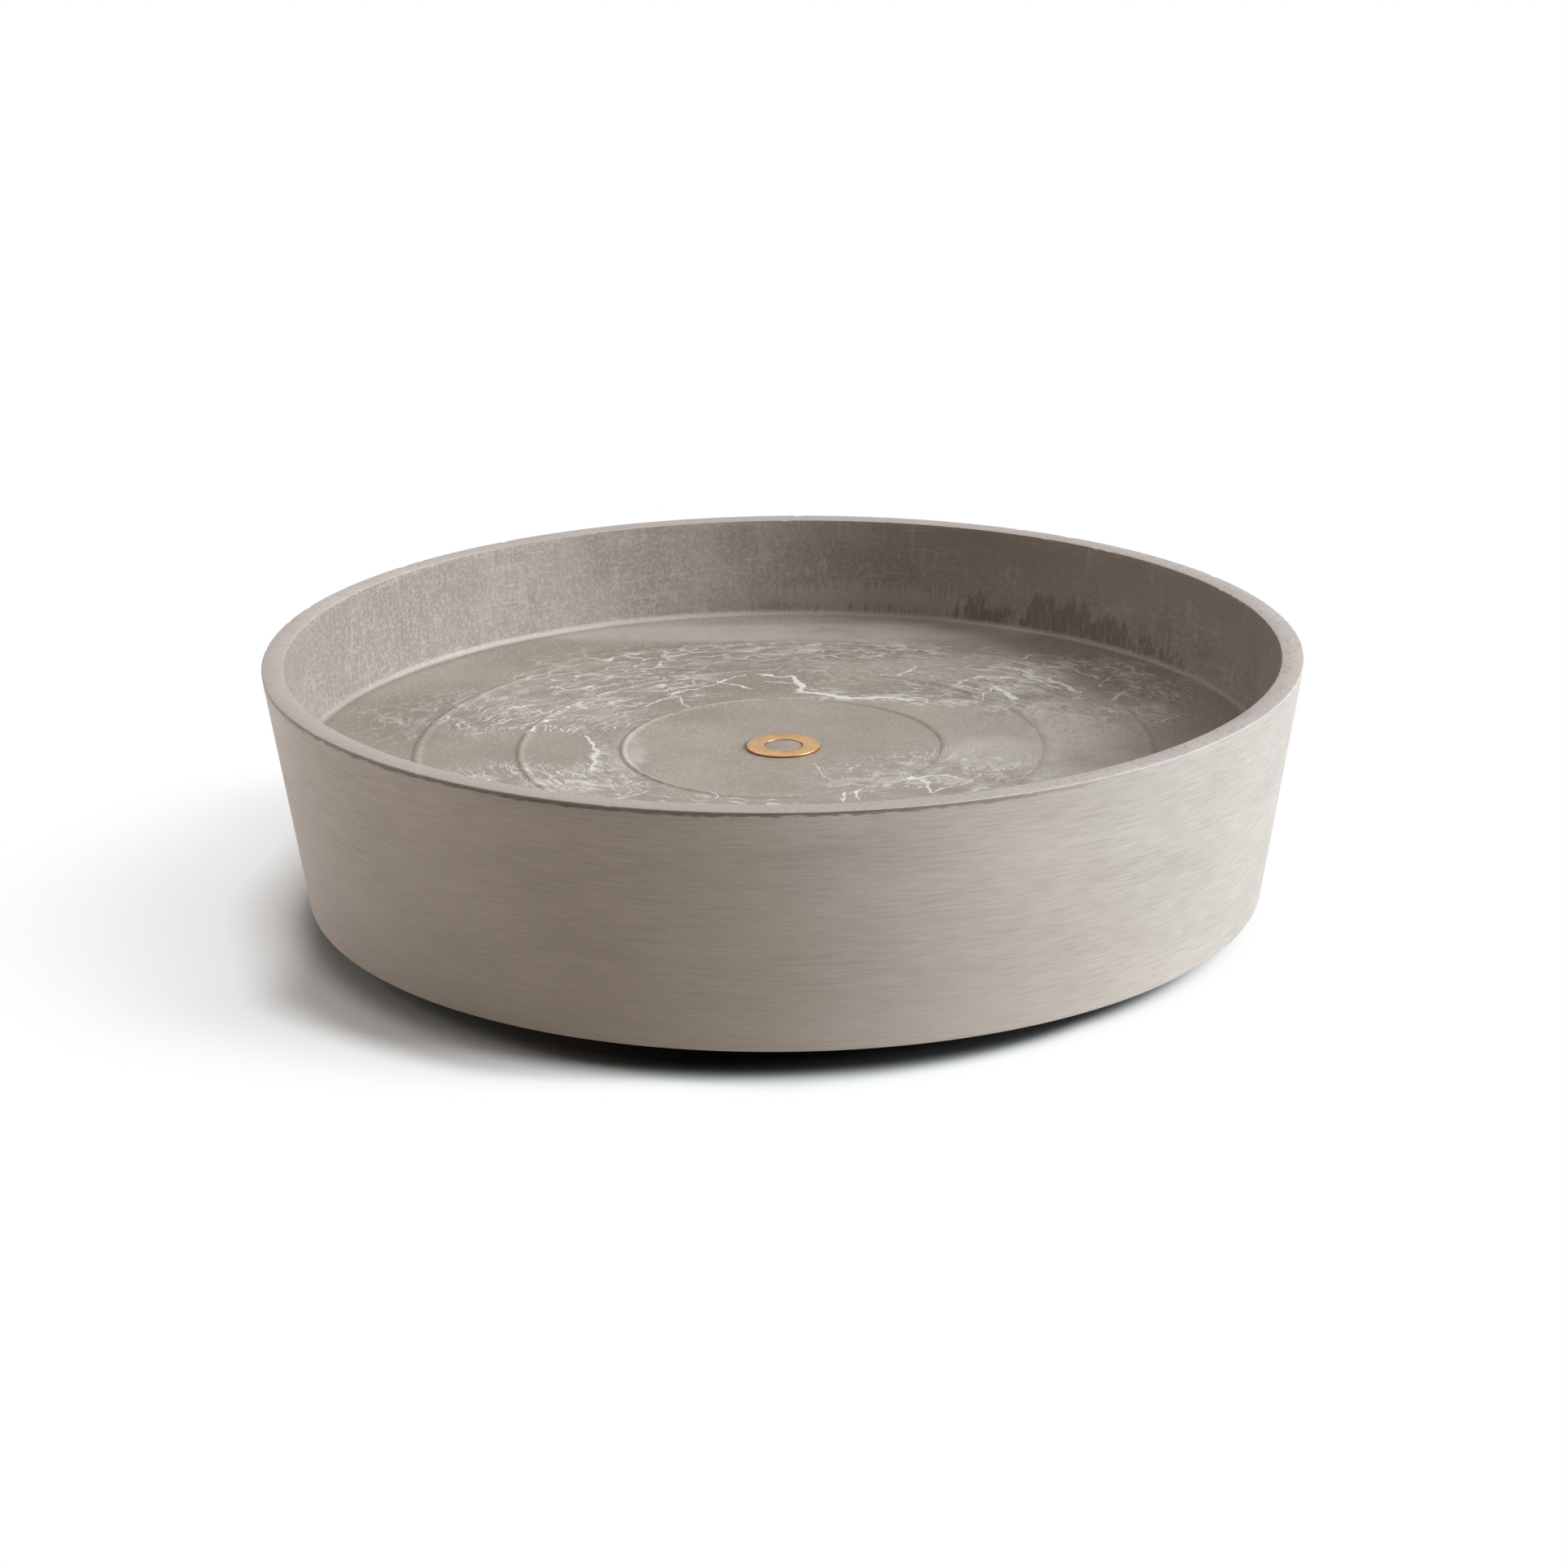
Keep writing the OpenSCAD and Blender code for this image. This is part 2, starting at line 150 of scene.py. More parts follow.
def merge(piece, tool, operation):
    """Adds the tool to a piece or cuts it away, and throws the tool away."""
    alone(piece)
    change = piece.modifiers.new("joint", "BOOLEAN")
    change.operation = operation
    change.solver = "MANIFOLD"
    change.object = tool
    bpy.ops.object.modifier_apply(modifier=change.name)
    bpy.data.objects.remove(tool)


floor_foot = (well_r(floor_z), floor_z)
rim_in = (rim_r - rim_w, rim_z)
rim_out = (shell_high.x - rim_bevel_w, rim_z)
rim_side = (shell_high.x - box_clear, rim_z - rim_bevel_h)
lip_low = (wall_r(rim_z - lip_h), rim_z - lip_h)
lip_root = (wall_r(rim_z - 1.6 * lip_h), rim_z - 1.6 * lip_h)
wall_top = (wall_r(rim_z - 2 * lip_h), rim_z - 2 * lip_h)
wall_foot = (wall_r(skirt_z + 3 * edge_r), skirt_z + 3 * edge_r)
well_top = (well_r(rim_z - 3 * edge_r), rim_z - 3 * edge_r)
well_foot = (well_r(floor_z + 2 * well_fillet), floor_z + 2 * well_fillet)
skirt_out = (wall_r(skirt_z), skirt_z)
skirt_in = (wall_r(skirt_z) - skirt_t, skirt_z)
skirt_top = (wall_r(under_z) - skirt_t, under_z)
bead_points = [
    (r + side * share * bead_w / 2, floor_z + h)
    for r, bead_w, bead_h in zip(bead_rs, bead_ws, bead_hs)
    for side, share, h in ((-1, 1, 0), (-1, bead_crown, bead_h), (1, bead_crown, bead_h), (1, 1, 0))
]
shell_outline = [
    (spigot_r, floor_z),
    *bead_points,
    floor_foot,
    well_foot,
    well_top,
    rim_in,
    rim_out,
    rim_side,
    lip_low,
    lip_root,
    wall_top,
    wall_foot,
    skirt_out,
    skirt_in,
    skirt_top,
    (spigot_r, under_z),
    (spigot_r, floor_z),
]
shell = draw("dish_moulding", shell_outline)
soften(shell, floor_foot, 0.92 * well_fillet, 8)
soften(shell, rim_in, 0.15 * edge_r, 3)
soften(shell, rim_out, 0.12 * mm, 3)
soften(shell, skirt_out, edge_r)
soften(shell, skirt_in, edge_r)
soften(shell, skirt_top, skirt_fillet, 8)
for foot in bead_points:
    soften(shell, foot, 0.6 * mm, 3)
turn(shell, shell_steps)

# The trimming knife left a lip over the wall along the front left of the rim, and small chips all round.
lip_middle = math.radians(238)
lip_spread = math.radians(48)
lip_overhang = 0.55 * mm
lip_waves = 70
chip_count = 46
chip_half = 2.2 * mm
chip_depth = 0.5 * mm
chances = random.Random(7)
chips = [
    (chances.uniform(0, math.tau), chances.choice((rim_in[0], rim_r)), chances.uniform(0.3, 1) * chip_depth)
    for _ in range(chip_count)
]
for vertex in shell.data.vertices:
    co = vertex.co
    if co.z < rim_z - 3 * lip_h:
        continue
    r = math.hypot(co.x, co.y)
    around = math.atan2(co.y, co.x) % math.tau
    if r > wall_r(co.z) - 0.1 * mm and abs(co.z - lip_low[1]) < 0.2 * mm:
        wave = 0.75 + 0.5 * noise.noise(Vector((lip_waves * co.x, lip_waves * co.y, 0)))
        inward = lip_overhang * wave * math.exp(-(((around - lip_middle) / lip_spread) ** 4))
        co.xy = co.xy * (1 - inward / r)
    for place, edge, depth in chips:
        if co.z > rim_z - edge_r and abs(r - edge) < edge_r and abs(around - place) * rim_r < chip_half:
            co.z -= depth * (1 - abs(around - place) * rim_r / chip_half)

rib_t = 4 * mm
rib_h = 9 * mm
rib_edge = 0.8 * mm
rib_count = 8
hub_ring_r = 24 * mm
pad_w = 50 * mm
pocket_r = 7.3 * mm
pocket_h = 1.68 * mm
screw_spacing = 33 * mm
screw_hole_r = 2.02 * mm
screw_hole_h = 7.52 * mm
bite = 1 * mm
screw_out = screw_spacing / 2
screw_places = [(x, y) for x in (-screw_out, screw_out) for y in (-screw_out, screw_out)]
rib_z = under_z - rib_h
rib_end = wall_r(rib_z) - skirt_t / 2
casters = [1, 2, 3, 4]


def kingpin_place(n):
    """The middle of caster plate n, seen from above."""
    low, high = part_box(f"caster_plate_{n}")
    return (low + high) / 2


def caster_turn(n):
    """Turns what is modelled on the X axis to the corner where caster n stands."""
    return math.radians(45 + 90 * (n - 1))


def block(name, low, high):
    """A box between two corners, with its size and place in its mesh."""
    bpy.ops.object.select_all(action="DESELECT")
    middle = (Vector(low) + Vector(high)) / 2
    bpy.ops.mesh.primitive_cube_add(size=1, location=middle, scale=Vector(high) - Vector(low))
    bpy.ops.object.transform_apply()
    bpy.context.object.name = name
    return bpy.context.object


def peg(name, place, radius, low, high, sides=48):
    """An upright cylinder, with its size and place in its mesh."""
    bpy.ops.object.select_all(action="DESELECT")
    middle = (place[0], place[1], (low + high) / 2)
    bpy.ops.mesh.primitive_cylinder_add(vertices=sides, radius=radius, depth=high - low, location=middle)
    bpy.ops.object.transform_apply()
    bpy.context.object.name = name
    return bpy.context.object


def duplicate(piece, placed):
    """A copy of a piece with a mesh of its own, in which it is moved."""
    copy = piece.copy()
    copy.data = piece.data.copy()
    copy.data.transform(placed)
    bpy.context.collection.objects.link(copy)
    return copy


def join(pieces):
    """Makes several pieces one."""
    alone(pieces[0])
    for piece in pieces:
        piece.select_set(True)
    bpy.ops.object.join()
    return bpy.context.object


def copies(piece, turns):
    """Copies of a piece turned about the Z axis, joined into one."""
    made = [duplicate(piece, Matrix.Rotation(angle, 4, "Z")) for angle in turns]
    bpy.data.objects.remove(piece)
    return join(made)


def round_edges(piece, wanted, reach, segments):
    """Rounds the edges whose middle wanted() accepts."""
    bpy.ops.object.mode_set(mode="EDIT")
    choose(piece, "edges", wanted)
    bpy.ops.mesh.bevel(offset=reach, segments=segments)
    bpy.ops.object.mode_set(mode="OBJECT")


circle_r = kingpin_place(1).xy.length
rib = block("rib", (hub_ring_r + rib_t / 2, -rib_t / 2, rib_z), (rib_end, rib_t / 2, under_z + bite))
round_edges(rib, lambda co: co.z < rib_z + 0.1 * mm and abs(co.y) > 0.4 * rib_t, rib_edge, 3)
ribbing = copies(rib, [k * math.tau / rib_count for k in range(rib_count)])
hub_ring = peg("hub_ring", (0, 0), hub_ring_r + rib_t, rib_z, under_z + bite, 96)
merge(hub_ring, peg("hub_hole", (0, 0), hub_ring_r, rib_z - bite, under_z + 2 * bite, 96), "DIFFERENCE")
merge(ribbing, hub_ring, "UNION")
pad_low = (circle_r - pad_w / 2, -pad_w / 2, plate_top)
pad_high = (circle_r + pad_w / 2, pad_w / 2, under_z + bite)
corners = [caster_turn(n) for n in casters]
room = block("room", (pad_low[0], pad_low[1], rib_z - bite), (pad_high[0], pad_high[1], plate_top))
merge(ribbing, copies(room, corners), "DIFFERENCE")
merge(ribbing, copies(block("pad", pad_low, pad_high), corners), "UNION")
merge(shell, ribbing, "UNION")
holes = [peg("pocket", (circle_r, 0), pocket_r, plate_top - bite, plate_top + pocket_h)]
pilot_top = plate_top + screw_hole_h
for x, y in screw_places:
    holes.append(peg("pilot", (circle_r + x, y), screw_hole_r, plate_top - bite, pilot_top, 24))
merge(shell, copies(join(holes), corners), "DIFFERENCE")
alone(shell)
bpy.ops.object.shade_smooth_by_angle(angle=crease)


def srgb(red, green, blue):
    """A colour read off a screen, as the shader's linear numbers."""
    return (*(((c / 255 + 0.055) / 1.055) ** 2.4 for c in (red, green, blue)), 1)


def finish(name, roughness, specular=0.25, metallic=0.0):
    """A new material, and the tree that its pattern is wired in."""
    made = bpy.data.materials.new(name)
    made.use_nodes = True
    shader = made.node_tree.nodes["Principled BSDF"]
    shader.inputs["Roughness"].default_value = roughness
    shader.inputs["Specular IOR Level"].default_value = specular
    shader.inputs["Metallic"].default_value = metallic
    return made, made.node_tree


class Reading:
    """A number that changes over a piece's surface, and that is reckoned with as plain numbers are."""

    def __init__(self, tree, socket):
        self.tree = tree
        self.socket = socket

    def __add__(self, other):
        return calc("ADD", self, other)

    def __sub__(self, other):
        return calc("SUBTRACT", self, other)

    def __rsub__(self, other):
        return calc("SUBTRACT", other, self)

    def __mul__(self, other):
        return calc("MULTIPLY", self, other)

    def __truediv__(self, other):
        return calc("DIVIDE", self, other)

    def __abs__(self):
        return calc("ABSOLUTE", self)


def put(tree, kind, feeds, **options):
    """Adds a node, sets its options, and feeds its sockets with values or with other nodes' outputs."""
    node = tree.nodes.new(kind)
    for option, value in options.items():
        setattr(node, option, value)
    for socket, feed in feeds.items():
        feed = feed.socket if isinstance(feed, Reading) else feed
        if isinstance(feed, bpy.types.NodeSocket):
            tree.links.new(feed, node.inputs[socket])
        else:
            node.inputs[socket].default_value = feed
    return node


def calc(operation, first, second=0.0):
    """A reading made from two values, of which one may be a plain number."""
    tree = first.tree if isinstance(first, Reading) else second.tree
    return Reading(tree, put(tree, "ShaderNodeMath", {0: first, 1: second}, operation=operation).outputs[0])


def place_on(tree):
    """Where the shaded point lies on its piece, in metres."""
    return put(tree, "ShaderNodeTexCoord", {}).outputs["Object"]


def grain(tree, lump, detail=2.0, place=None, shift=0.0, roughness=0.5):
    """Noise with lumps of about this many millimetres, or of three sizes along X, Y and Z."""
    sizes = lump if isinstance(lump, tuple) else (lump, lump, lump)
    scale = [1 / (size * mm) for size in sizes]
    start = (shift + 0.37, shift + 0.61, shift + 0.23)
    feeds = {"Vector": place or place_on(tree), "Scale": scale, "Location": start}
    spot = put(tree, "ShaderNodeMapping", feeds).outputs["Vector"]
    feeds = {"Vector": spot, "Scale": 1.0, "Detail": detail, "Roughness": roughness}
    return Reading(tree, put(tree, "ShaderNodeTexNoise", feeds).outputs["Fac"])


def rise(value, low, high, top=1.0):
    """Climbs smoothly from 0 to top as value goes from low to high, which may be the smaller one."""
    feeds = {"Value": value, "From Min": low, "From Max": high, "To Min": 0.0, "To Max": top}
    ramp = put(value.tree, "ShaderNodeMapRange", feeds, interpolation_type="SMOOTHSTEP", clamp=False)
    return Reading(value.tree, ramp.outputs["Result"])


def layer(under, over, amount):
    """One colour laid over another where amount is 1."""
    return put(amount.tree, "ShaderNodeMix", {0: amount, 6: under, 7: over}, data_type="RGBA").outputs[2]


def coat(colour, height, depth, roughness=None):
    """Wires the colour, the relief and the uneven gloss into the material's shader."""
    tree = height.tree
    shader = tree.nodes["Principled BSDF"]
    tree.links.new(colour, shader.inputs["Base Color"])
    if roughness is not None:
        tree.links.new(roughness.socket, shader.inputs["Roughness"])
    relief = put(tree, "ShaderNodeBump", {"Height": height, "Distance": depth, "Strength": 1.0})
    tree.links.new(relief.outputs["Normal"], shader.inputs["Normal"])


def split(tree, vector):
    """The three numbers of a vector."""
    return [Reading(tree, part) for part in put(tree, "ShaderNodeSeparateXYZ", {"Vector": vector}).outputs]


def vector_calc(tree, operation, first, second=(0, 0, 0), scale=None):
    """A vector made from one or two others, or scaled by a number."""
    feeds = {0: first, 1: second} if scale is None else {0: first, "Scale": scale}
    return put(tree, "ShaderNodeVectorMath", feeds, operation=operation).outputs[0]


def measure(tree, operation, first, second=(0, 0, 0)):
    """A reading made from one or two vectors."""
    made = put(tree, "ShaderNodeVectorMath", {0: first, 1: second}, operation=operation)
    return Reading(tree, made.outputs["Value"])


def radius_on(tree):
    """How far the shaded point lies from the axis of the dish."""
    return measure(tree, "LENGTH", vector_calc(tree, "MULTIPLY", place_on(tree), (1, 1, 0)))


taupe = srgb(176, 167, 158)
taupe_dark = srgb(160, 151, 142)
wall_dark = srgb(165, 157, 152)
wall_pale = srgb(189, 182, 177)
wall_foot_tone = srgb(164, 156, 149)
lip_shadow_paint = srgb(92, 84, 76)
lime_white = srgb(226, 222, 216)

brushed, tree = finish("brushed_wall", 0.55)
hair = grain(tree, (11, 11, 0.7), 3)
dash = grain(tree, (5, 5, 0.9), 2, shift=2)
long_hair = grain(tree, (80, 80, 1), 2, shift=4)
cloud = grain(tree, (60, 60, 18), 2, shift=9)
tone = hair * 0.55 + long_hair * 0.15 + cloud * 0.3
colour = layer(wall_dark, wall_pale, rise(tone, 0.28, 0.72))
colour = layer(colour, wall_pale, rise(dash, 0.56, 0.76, 0.25))
side_wise, back_wise, height = split(tree, place_on(tree))
low_on_wall = rise(height, rim_z, skirt_z, 0.4) * rise(side_wise, 0.17, 0.05)
colour = layer(colour, wall_foot_tone, low_on_wall)
# Painted shadow: a dark ragged band just under the rim's lip along the front left, where the lip shades the
# wall.
to_lip = side_wise * -0.55 + back_wise * -0.83
ragged = (dash - 0.5) * (2.6 * mm)
under_lip_shadow = rise(height + ragged, rim_z - 1.7 * lip_h, rim_z - 1.1 * lip_h)
under_lip_shadow = under_lip_shadow * rise(to_lip, 0.05, 0.15, 0.7)
colour = layer(colour, lip_shadow_paint, under_lip_shadow)
coat(colour, hair, 0.01 * mm)

rim_tone = srgb(197, 184, 178)
rim_pale = srgb(204, 192, 185)
rim_shade_and_wear = srgb(178, 165, 158)
rim_fleck = srgb(172, 160, 153)

trimmed, tree = finish("trimmed_rim", 0.6)
smear = grain(tree, 30, 3)
speck = grain(tree, 1.2, 2, shift=3)
fleck = grain(tree, (1.5, 3, 1.6), 3, shift=13)
side_wise, back_wise, _ = split(tree, place_on(tree))
# The rim is darker towards the front left and the back: partly painted shade, as the lamp stands on the
# right, and partly wear.
to_left = side_wise * -0.7 + back_wise * -0.7
colour = layer(rim_tone, rim_pale, rise(smear, 0.35, 0.65))
colour = layer(colour, rim_shade_and_wear, rise(to_left, 0.02, 0.16, 0.7))
colour = layer(colour, rim_shade_and_wear, rise(back_wise, 0.08, 0.19, 0.6))
colour = layer(colour, rim_fleck, rise(fleck, 0.48, 0.68, 0.6))
colour = layer(colour, lime_white, rise(speck, 0.72, 0.8))
coat(colour, speck, 0.05 * mm)


def nearness(tree, place, lines):
    """How many half widths a point lies from the nearest of some lines, each drawn in millimetres."""
    nearest = None
    for half_width, points in lines:
        for here, there in zip(points, points[1:]):
            start = Vector((*here, 0)) * mm
            run = Vector((*there, 0)) * mm - start
            offset = vector_calc(tree, "SUBTRACT", place, start)
            along = measure(tree, "DOT_PRODUCT", offset, run / run.length_squared)
            share = calc("MINIMUM", calc("MAXIMUM", along, 0.0), 1.0)
            foot = vector_calc(tree, "SCALE", run, scale=share)
            reach = measure(tree, "DISTANCE", offset, foot) / (half_width * mm)
            nearest = reach if nearest is None else calc("MINIMUM", nearest, reach)
    return nearest


def patches(tree, place, spots):
    """Climbs to its strength in each of some soft ovals, with middles and half sizes in millimetres."""
    most = None
    for middle, half, strength in spots:
        offset = vector_calc(tree, "SUBTRACT", place, Vector((*middle, 0)) * mm)
        share = vector_calc(tree, "DIVIDE", offset, Vector((*half, 1)) * mm)
        inside = rise(measure(tree, "LENGTH", share), 1.35, 0.65, strength)
        most = inside if most is None else calc("MAXIMUM", most, inside)
    return most


def strands(outward, waver, spacing, width):
    """Thin lines that follow one another outward, spacing apart, and waver on their way round."""
    step = outward / spacing + waver * 2.5
    return rise(calc("PINGPONG", step, 0.5), width, 0.5 * width)


def ridge(pattern, width):
    """Thin lines where a noise crosses its middle value."""
    return rise(abs(pattern - 0.5), width, 0.5 * width)


# Dark runs low on the well's back wall, in millimetres round the wall from the right and above the floor.
flames = [
    ((210, 5), (8, 8), 1),
    ((199, 2), (7, 6), 1),
    ((177, 5), (9, 12), 1),
    ((163, 5), (9, 13), 1),
    ((152, 3), (6, 8), 1),
    ((142, 3), (9, 12), 1),
    ((133, 1), (6, 6), 1),
    ((122, 4), (4, 6), 1),
    ((107, 3), (6, 6), 1),
    ((97, 1), (4, 4), 1),
]
# Scratches on the same wall: half a width, then the points a scratch runs through.
scratches = [
    (0.5, [(323, 27), (318, 17), (313, 8)]),
    (0.5, [(478, 27), (473, 18), (468, 8)]),
    (0.4, [(518, 21), (512, 12)]),
    (0.4, [(346, 30), (343, 23)]),
    (0.5, [(302, 26), (299, 22)]),
    (0.5, [(278, 26), (280, 17)]),
]
well_dark = srgb(140, 128, 118)
well_tone = srgb(155, 144, 134)
well_pale = srgb(184, 174, 167)
well_rose_shade = srgb(131, 121, 114)
flame_dark = srgb(116, 104, 92)

streaked, tree = finish("streaked_well", 0.55)
place = place_on(tree)
side_wise, back_wise, height = split(tree, place)
wash = grain(tree, (30, 30, 22), 3, shift=5)
bristle = grain(tree, (1.4, 1.4, 13), 3)
stroke = grain(tree, (3, 3, 20), 3, shift=11)
brush = grain(tree, (5, 5, 1.8), 3, shift=19)
scratch = ridge(grain(tree, (30, 30, 3), 3, shift=8), 0.02)
turned = calc("ARCTAN2", back_wise, side_wise) * well_r(floor_z)
sway = grain(tree, (4, 4, 9), 3, shift=17)
lift = (bristle - 0.5) * (22 * mm)
raised = height - floor_z + lift
swayed = turned + (sway - 0.5) * (26 * mm)
on_wall = put(tree, "ShaderNodeCombineXYZ", {"X": swayed, "Y": raised}).outputs["Vector"]
flame = rise(patches(tree, on_wall, flames) + (bristle - 0.5) * 1.6, 0.32, 0.95)
low_down = rise(raised, 16 * mm, 3 * mm)
blade = rise(grain(tree, (1.1, 1.1, 9), 2, shift=23), 0.52, 0.66)
blade = blade * low_down * rise(side_wise, 0.0, 0.09, 0.4)
colour = layer(well_dark, well_tone, rise(wash, 0.3, 0.7))
# Painted shade: the left side of the well, which faces the lamp, is painted darker, and rosier in tone.
colour = layer(colour, well_rose_shade, rise(side_wise, -0.09, -0.17, 0.85))
colour = layer(colour, well_pale, rise(bristle, 0.42, 0.68, 0.16))
colour = layer(colour, well_pale, rise(grain(tree, (1.2, 1.2, 1.5), 2, shift=33), 0.45, 0.68, 0.4))
colour = layer(colour, well_dark, rise(brush, 0.5, 0.68, 0.35))
# Painted shade: the upper right of the well, which faces away from the lamp, is painted darker.
high_right_shade = rise(raised, 14 * mm, 34 * mm) * rise(side_wise, 0.0, 0.08, 0.7)
colour = layer(colour, well_dark, high_right_shade)
# The foot of the back wall is painted paler: partly painted light, where the foot catches the light, and
# partly a veil of lime.
lit_and_limed_foot = patches(tree, on_wall, [((258, 7), (46, 6), 0.55)])
colour = layer(colour, well_pale, lit_and_limed_foot)
rubbed = rise(grain(tree, (26, 26, 16), 2, shift=21), 0.45, 0.6)
colour = layer(colour, well_pale, rise(stroke, 0.54, 0.68, 0.25) * rubbed)
colour = layer(colour, well_pale, scratch * (rubbed * 0.3))
colour = layer(colour, flame_dark, flame * 0.7)
colour = layer(colour, well_pale, blade)
foot_line = rise(height, floor_z + 1.3 * well_fillet, floor_z + 0.7 * well_fillet)
scored = rise(nearness(tree, on_wall, scratches), 1.2, 0.6, 0.5)
colour = layer(colour, well_pale, scored)
colour = layer(colour, lime_white, foot_line * rise(back_wise, 0.02, 0.15, 0.22))
coat(colour, bristle, 0.03 * mm)

# Lime veins, in millimetres right of and behind the drain: half a width, then the points a vein runs through.
veins = [
    (0.7, [(-11, 100), (4, 93), (7, 84)]),
    (1.6, [(7, 84), (8, 73), (20, 67)]),
    (1.5, [(20, 67), (35, 62)]),
    (1.1, [(35, 62), (44, 63), (52, 60)]),
    (0.35, [(-7, 88), (5, 86)]),
    (0.4, [(-55, 55), (-44, 71), (-28, 86), (-15, 100)]),
    (0.4, [(-44, 71), (-38, 54)]),
    (0.45, [(-27, 90), (-13, 76)]),
    (0.5, [(41, 93), (48, 93), (55, 107)]),
    (1.1, [(97, 102), (108, 87), (121, 68)]),
    (0.6, [(99, 95), (111, 74)]),
    (0.4, [(107, 105), (119, 104)]),
    (0.5, [(100, 116), (106, 121), (113, 121)]),
    (0.5, [(115, 116), (121, 106)]),
    (0.45, [(71, 82), (80, 92), (92, 90)]),
    (0.5, [(132, 57), (142, 74)]),
    (0.5, [(141, 48), (143, 37), (149, 34)]),
    (0.7, [(147, 27), (153, 31)]),
    (0.6, [(121, 101), (129, 86)]),
    (0.35, [(129, 76), (135, 88)]),
    (0.4, [(77, 55), (87, 78)]),
    (1.1, [(87, 78), (93, 60)]),
    (0.9, [(-77, 16), (-74, 5), (-73, -11), (-73, -27)]),
    (0.35, [(-93, -28), (-84, -45), (-70, -49)]),
    (0.35, [(-84, -25), (-75, -33)]),
    (0.35, [(-118, -30), (-100, -51)]),
    (0.4, [(-63, -62), (-51, -53)]),
    (0.4, [(-30, -52), (-26, -61)]),
    (0.2, [(13, -20), (14, -36), (18, -46)]),
    (0.6, [(21, -66), (24, -56)]),
    (0.7, [(27, -66), (29, -54), (38, -49), (47, -42)]),
    (1.2, [(47, -42), (54, -39)]),
    (0.6, [(54, -39), (62, -37), (71, -43)]),
    (0.8, [(53, -42), (56, -58)]),
    (0.4, [(56, -58), (67, -48), (72, -43)]),
    (0.4, [(69, -58), (88, -51)]),
    (0.35, [(-113, 53), (-94, 62), (-87, 66)]),
    (0.35, [(-105, 31), (-80, 46)]),
    (0.35, [(-115, 33), (-87, 55)]),
    (0.9, [(92, -92), (103, -112), (98, -134)]),
    (0.5, [(-72, -112), (-42, -127), (-18, -121)]),
    (0.5, [(20, -146), (44, -138)]),
]
# Where long cracks ripple round the floor: middles and half sizes, in millimetres, and strengths. The next
# lists say in the same way where cracks crackle, where they close to a net, where lime has crusted, which
# islands stay smooth, where lime lies as a thin veil, where the floor is painted darker, and where it is
# gritty.
rippled = [
    ((-96, 46), (44, 32), 1),
    ((-90, -40), (40, 30), 1),
    ((60, -38), (44, 32), 0.7),
    ((124, 34), (30, 32), 0.35),
    ((-25, -66), (30, 10), 1),
    ((138, 70), (22, 38), 0.35),
    ((-62, 76), (34, 26), 1),
    ((96, 88), (30, 26), 1),
    ((-50, -122), (52, 20), 0.6),
]
crackled = [
    ((136, 66), (30, 46), 1),
    ((108, 98), (30, 22), 1),
    ((60, -40), (48, 30), 0.9),
    ((-92, -44), (44, 28), 0.9),
    ((-100, 52), (50, 34), 0.7),
    ((20, 128), (60, 14), 0.65),
    ((96, -112), (26, 34), 0.8),
    ((30, -142), (46, 16), 0.6),
]
netted = [
    ((-71, 96), (38, 38), 1),
    ((0, 131), (82, 16), 0.75),
    ((60, 66), (22, 20), 0.8),
    ((-152, 38), (18, 26), 0.5),
    ((102, 62), (30, 26), 0.7),
    ((128, 92), (22, 26), 1),
    ((-20, -130), (70, 16), 0.6),
    ((64, -34), (30, 20), 0.6),
]
crusted = [
    ((34, 63), (26, 5), 1),
    ((16, 73), (9, 5), 1),
    ((64, 56), (14, 6), 0.6),
    ((97, 78), (16, 13), 0.8),
    ((46, -46), (28, 7), 0.8),
    ((-72, -8), (4, 20), 0.8),
    ((-84, -46), (18, 8), 1),
    ((146, 38), (9, 14), 1),
]
smooth_islands = [
    ((-88, -1), (13, 20), 1),
    ((105, 69), (14, 13), 1),
    ((54, -53), (16, 9), 1),
    ((126, 81), (12, 16), 1),
    ((27, 84), (20, 12), 1),
]
veiled = [
    ((-61, -6), (7, 26), 0.7),
    ((88, -10), (26, 20), 1),
    ((126, -8), (30, 26), 0.8),
    ((112, -40), (26, 14), 0.9),
    ((122, 22), (28, 26), 1),
    ((141, 38), (14, 18), 0.9),
    ((84, 160), (30, 14), 0.8),
    ((0, 160), (110, 12), 0.6),
]
darker_patches = [
    ((0, 130), (85, 16), 1),
    ((-25, 92), (40, 22), 0.9),
    ((70, 72), (44, 16), 0.9),
    ((-45, 60), (30, 26), 0.6),
    ((10, -132), (90, 18), 0.5),
    ((-150, 40), (28, 34), 0.7),
]
gritty = [
    ((122, 62), (44, 56), 1),
    ((46, 112), (62, 34), 1),
    ((108, 4), (52, 34), 0.45),
]
# Cracks wander off their lists a little, and run round ovals wider than deep, measured half way out.
wander_size = 9 * mm
flow_r = 100 * mm
flow_width = 0.85
net_cell = (8, 8, 5.5)
flank_shades = [0.5, 0.3, 0.1]
foot_r = well_r(floor_z)
floor_dark = srgb(158, 145, 133)
floor_tone = srgb(172, 158, 146)
floor_lit_pale = srgb(188, 174, 162)
floor_veil = srgb(202, 191, 183)
pit_and_shade_dark = srgb(132, 120, 108)
crack_white = srgb(230, 223, 216)
vein_white = srgb(232, 227, 220)

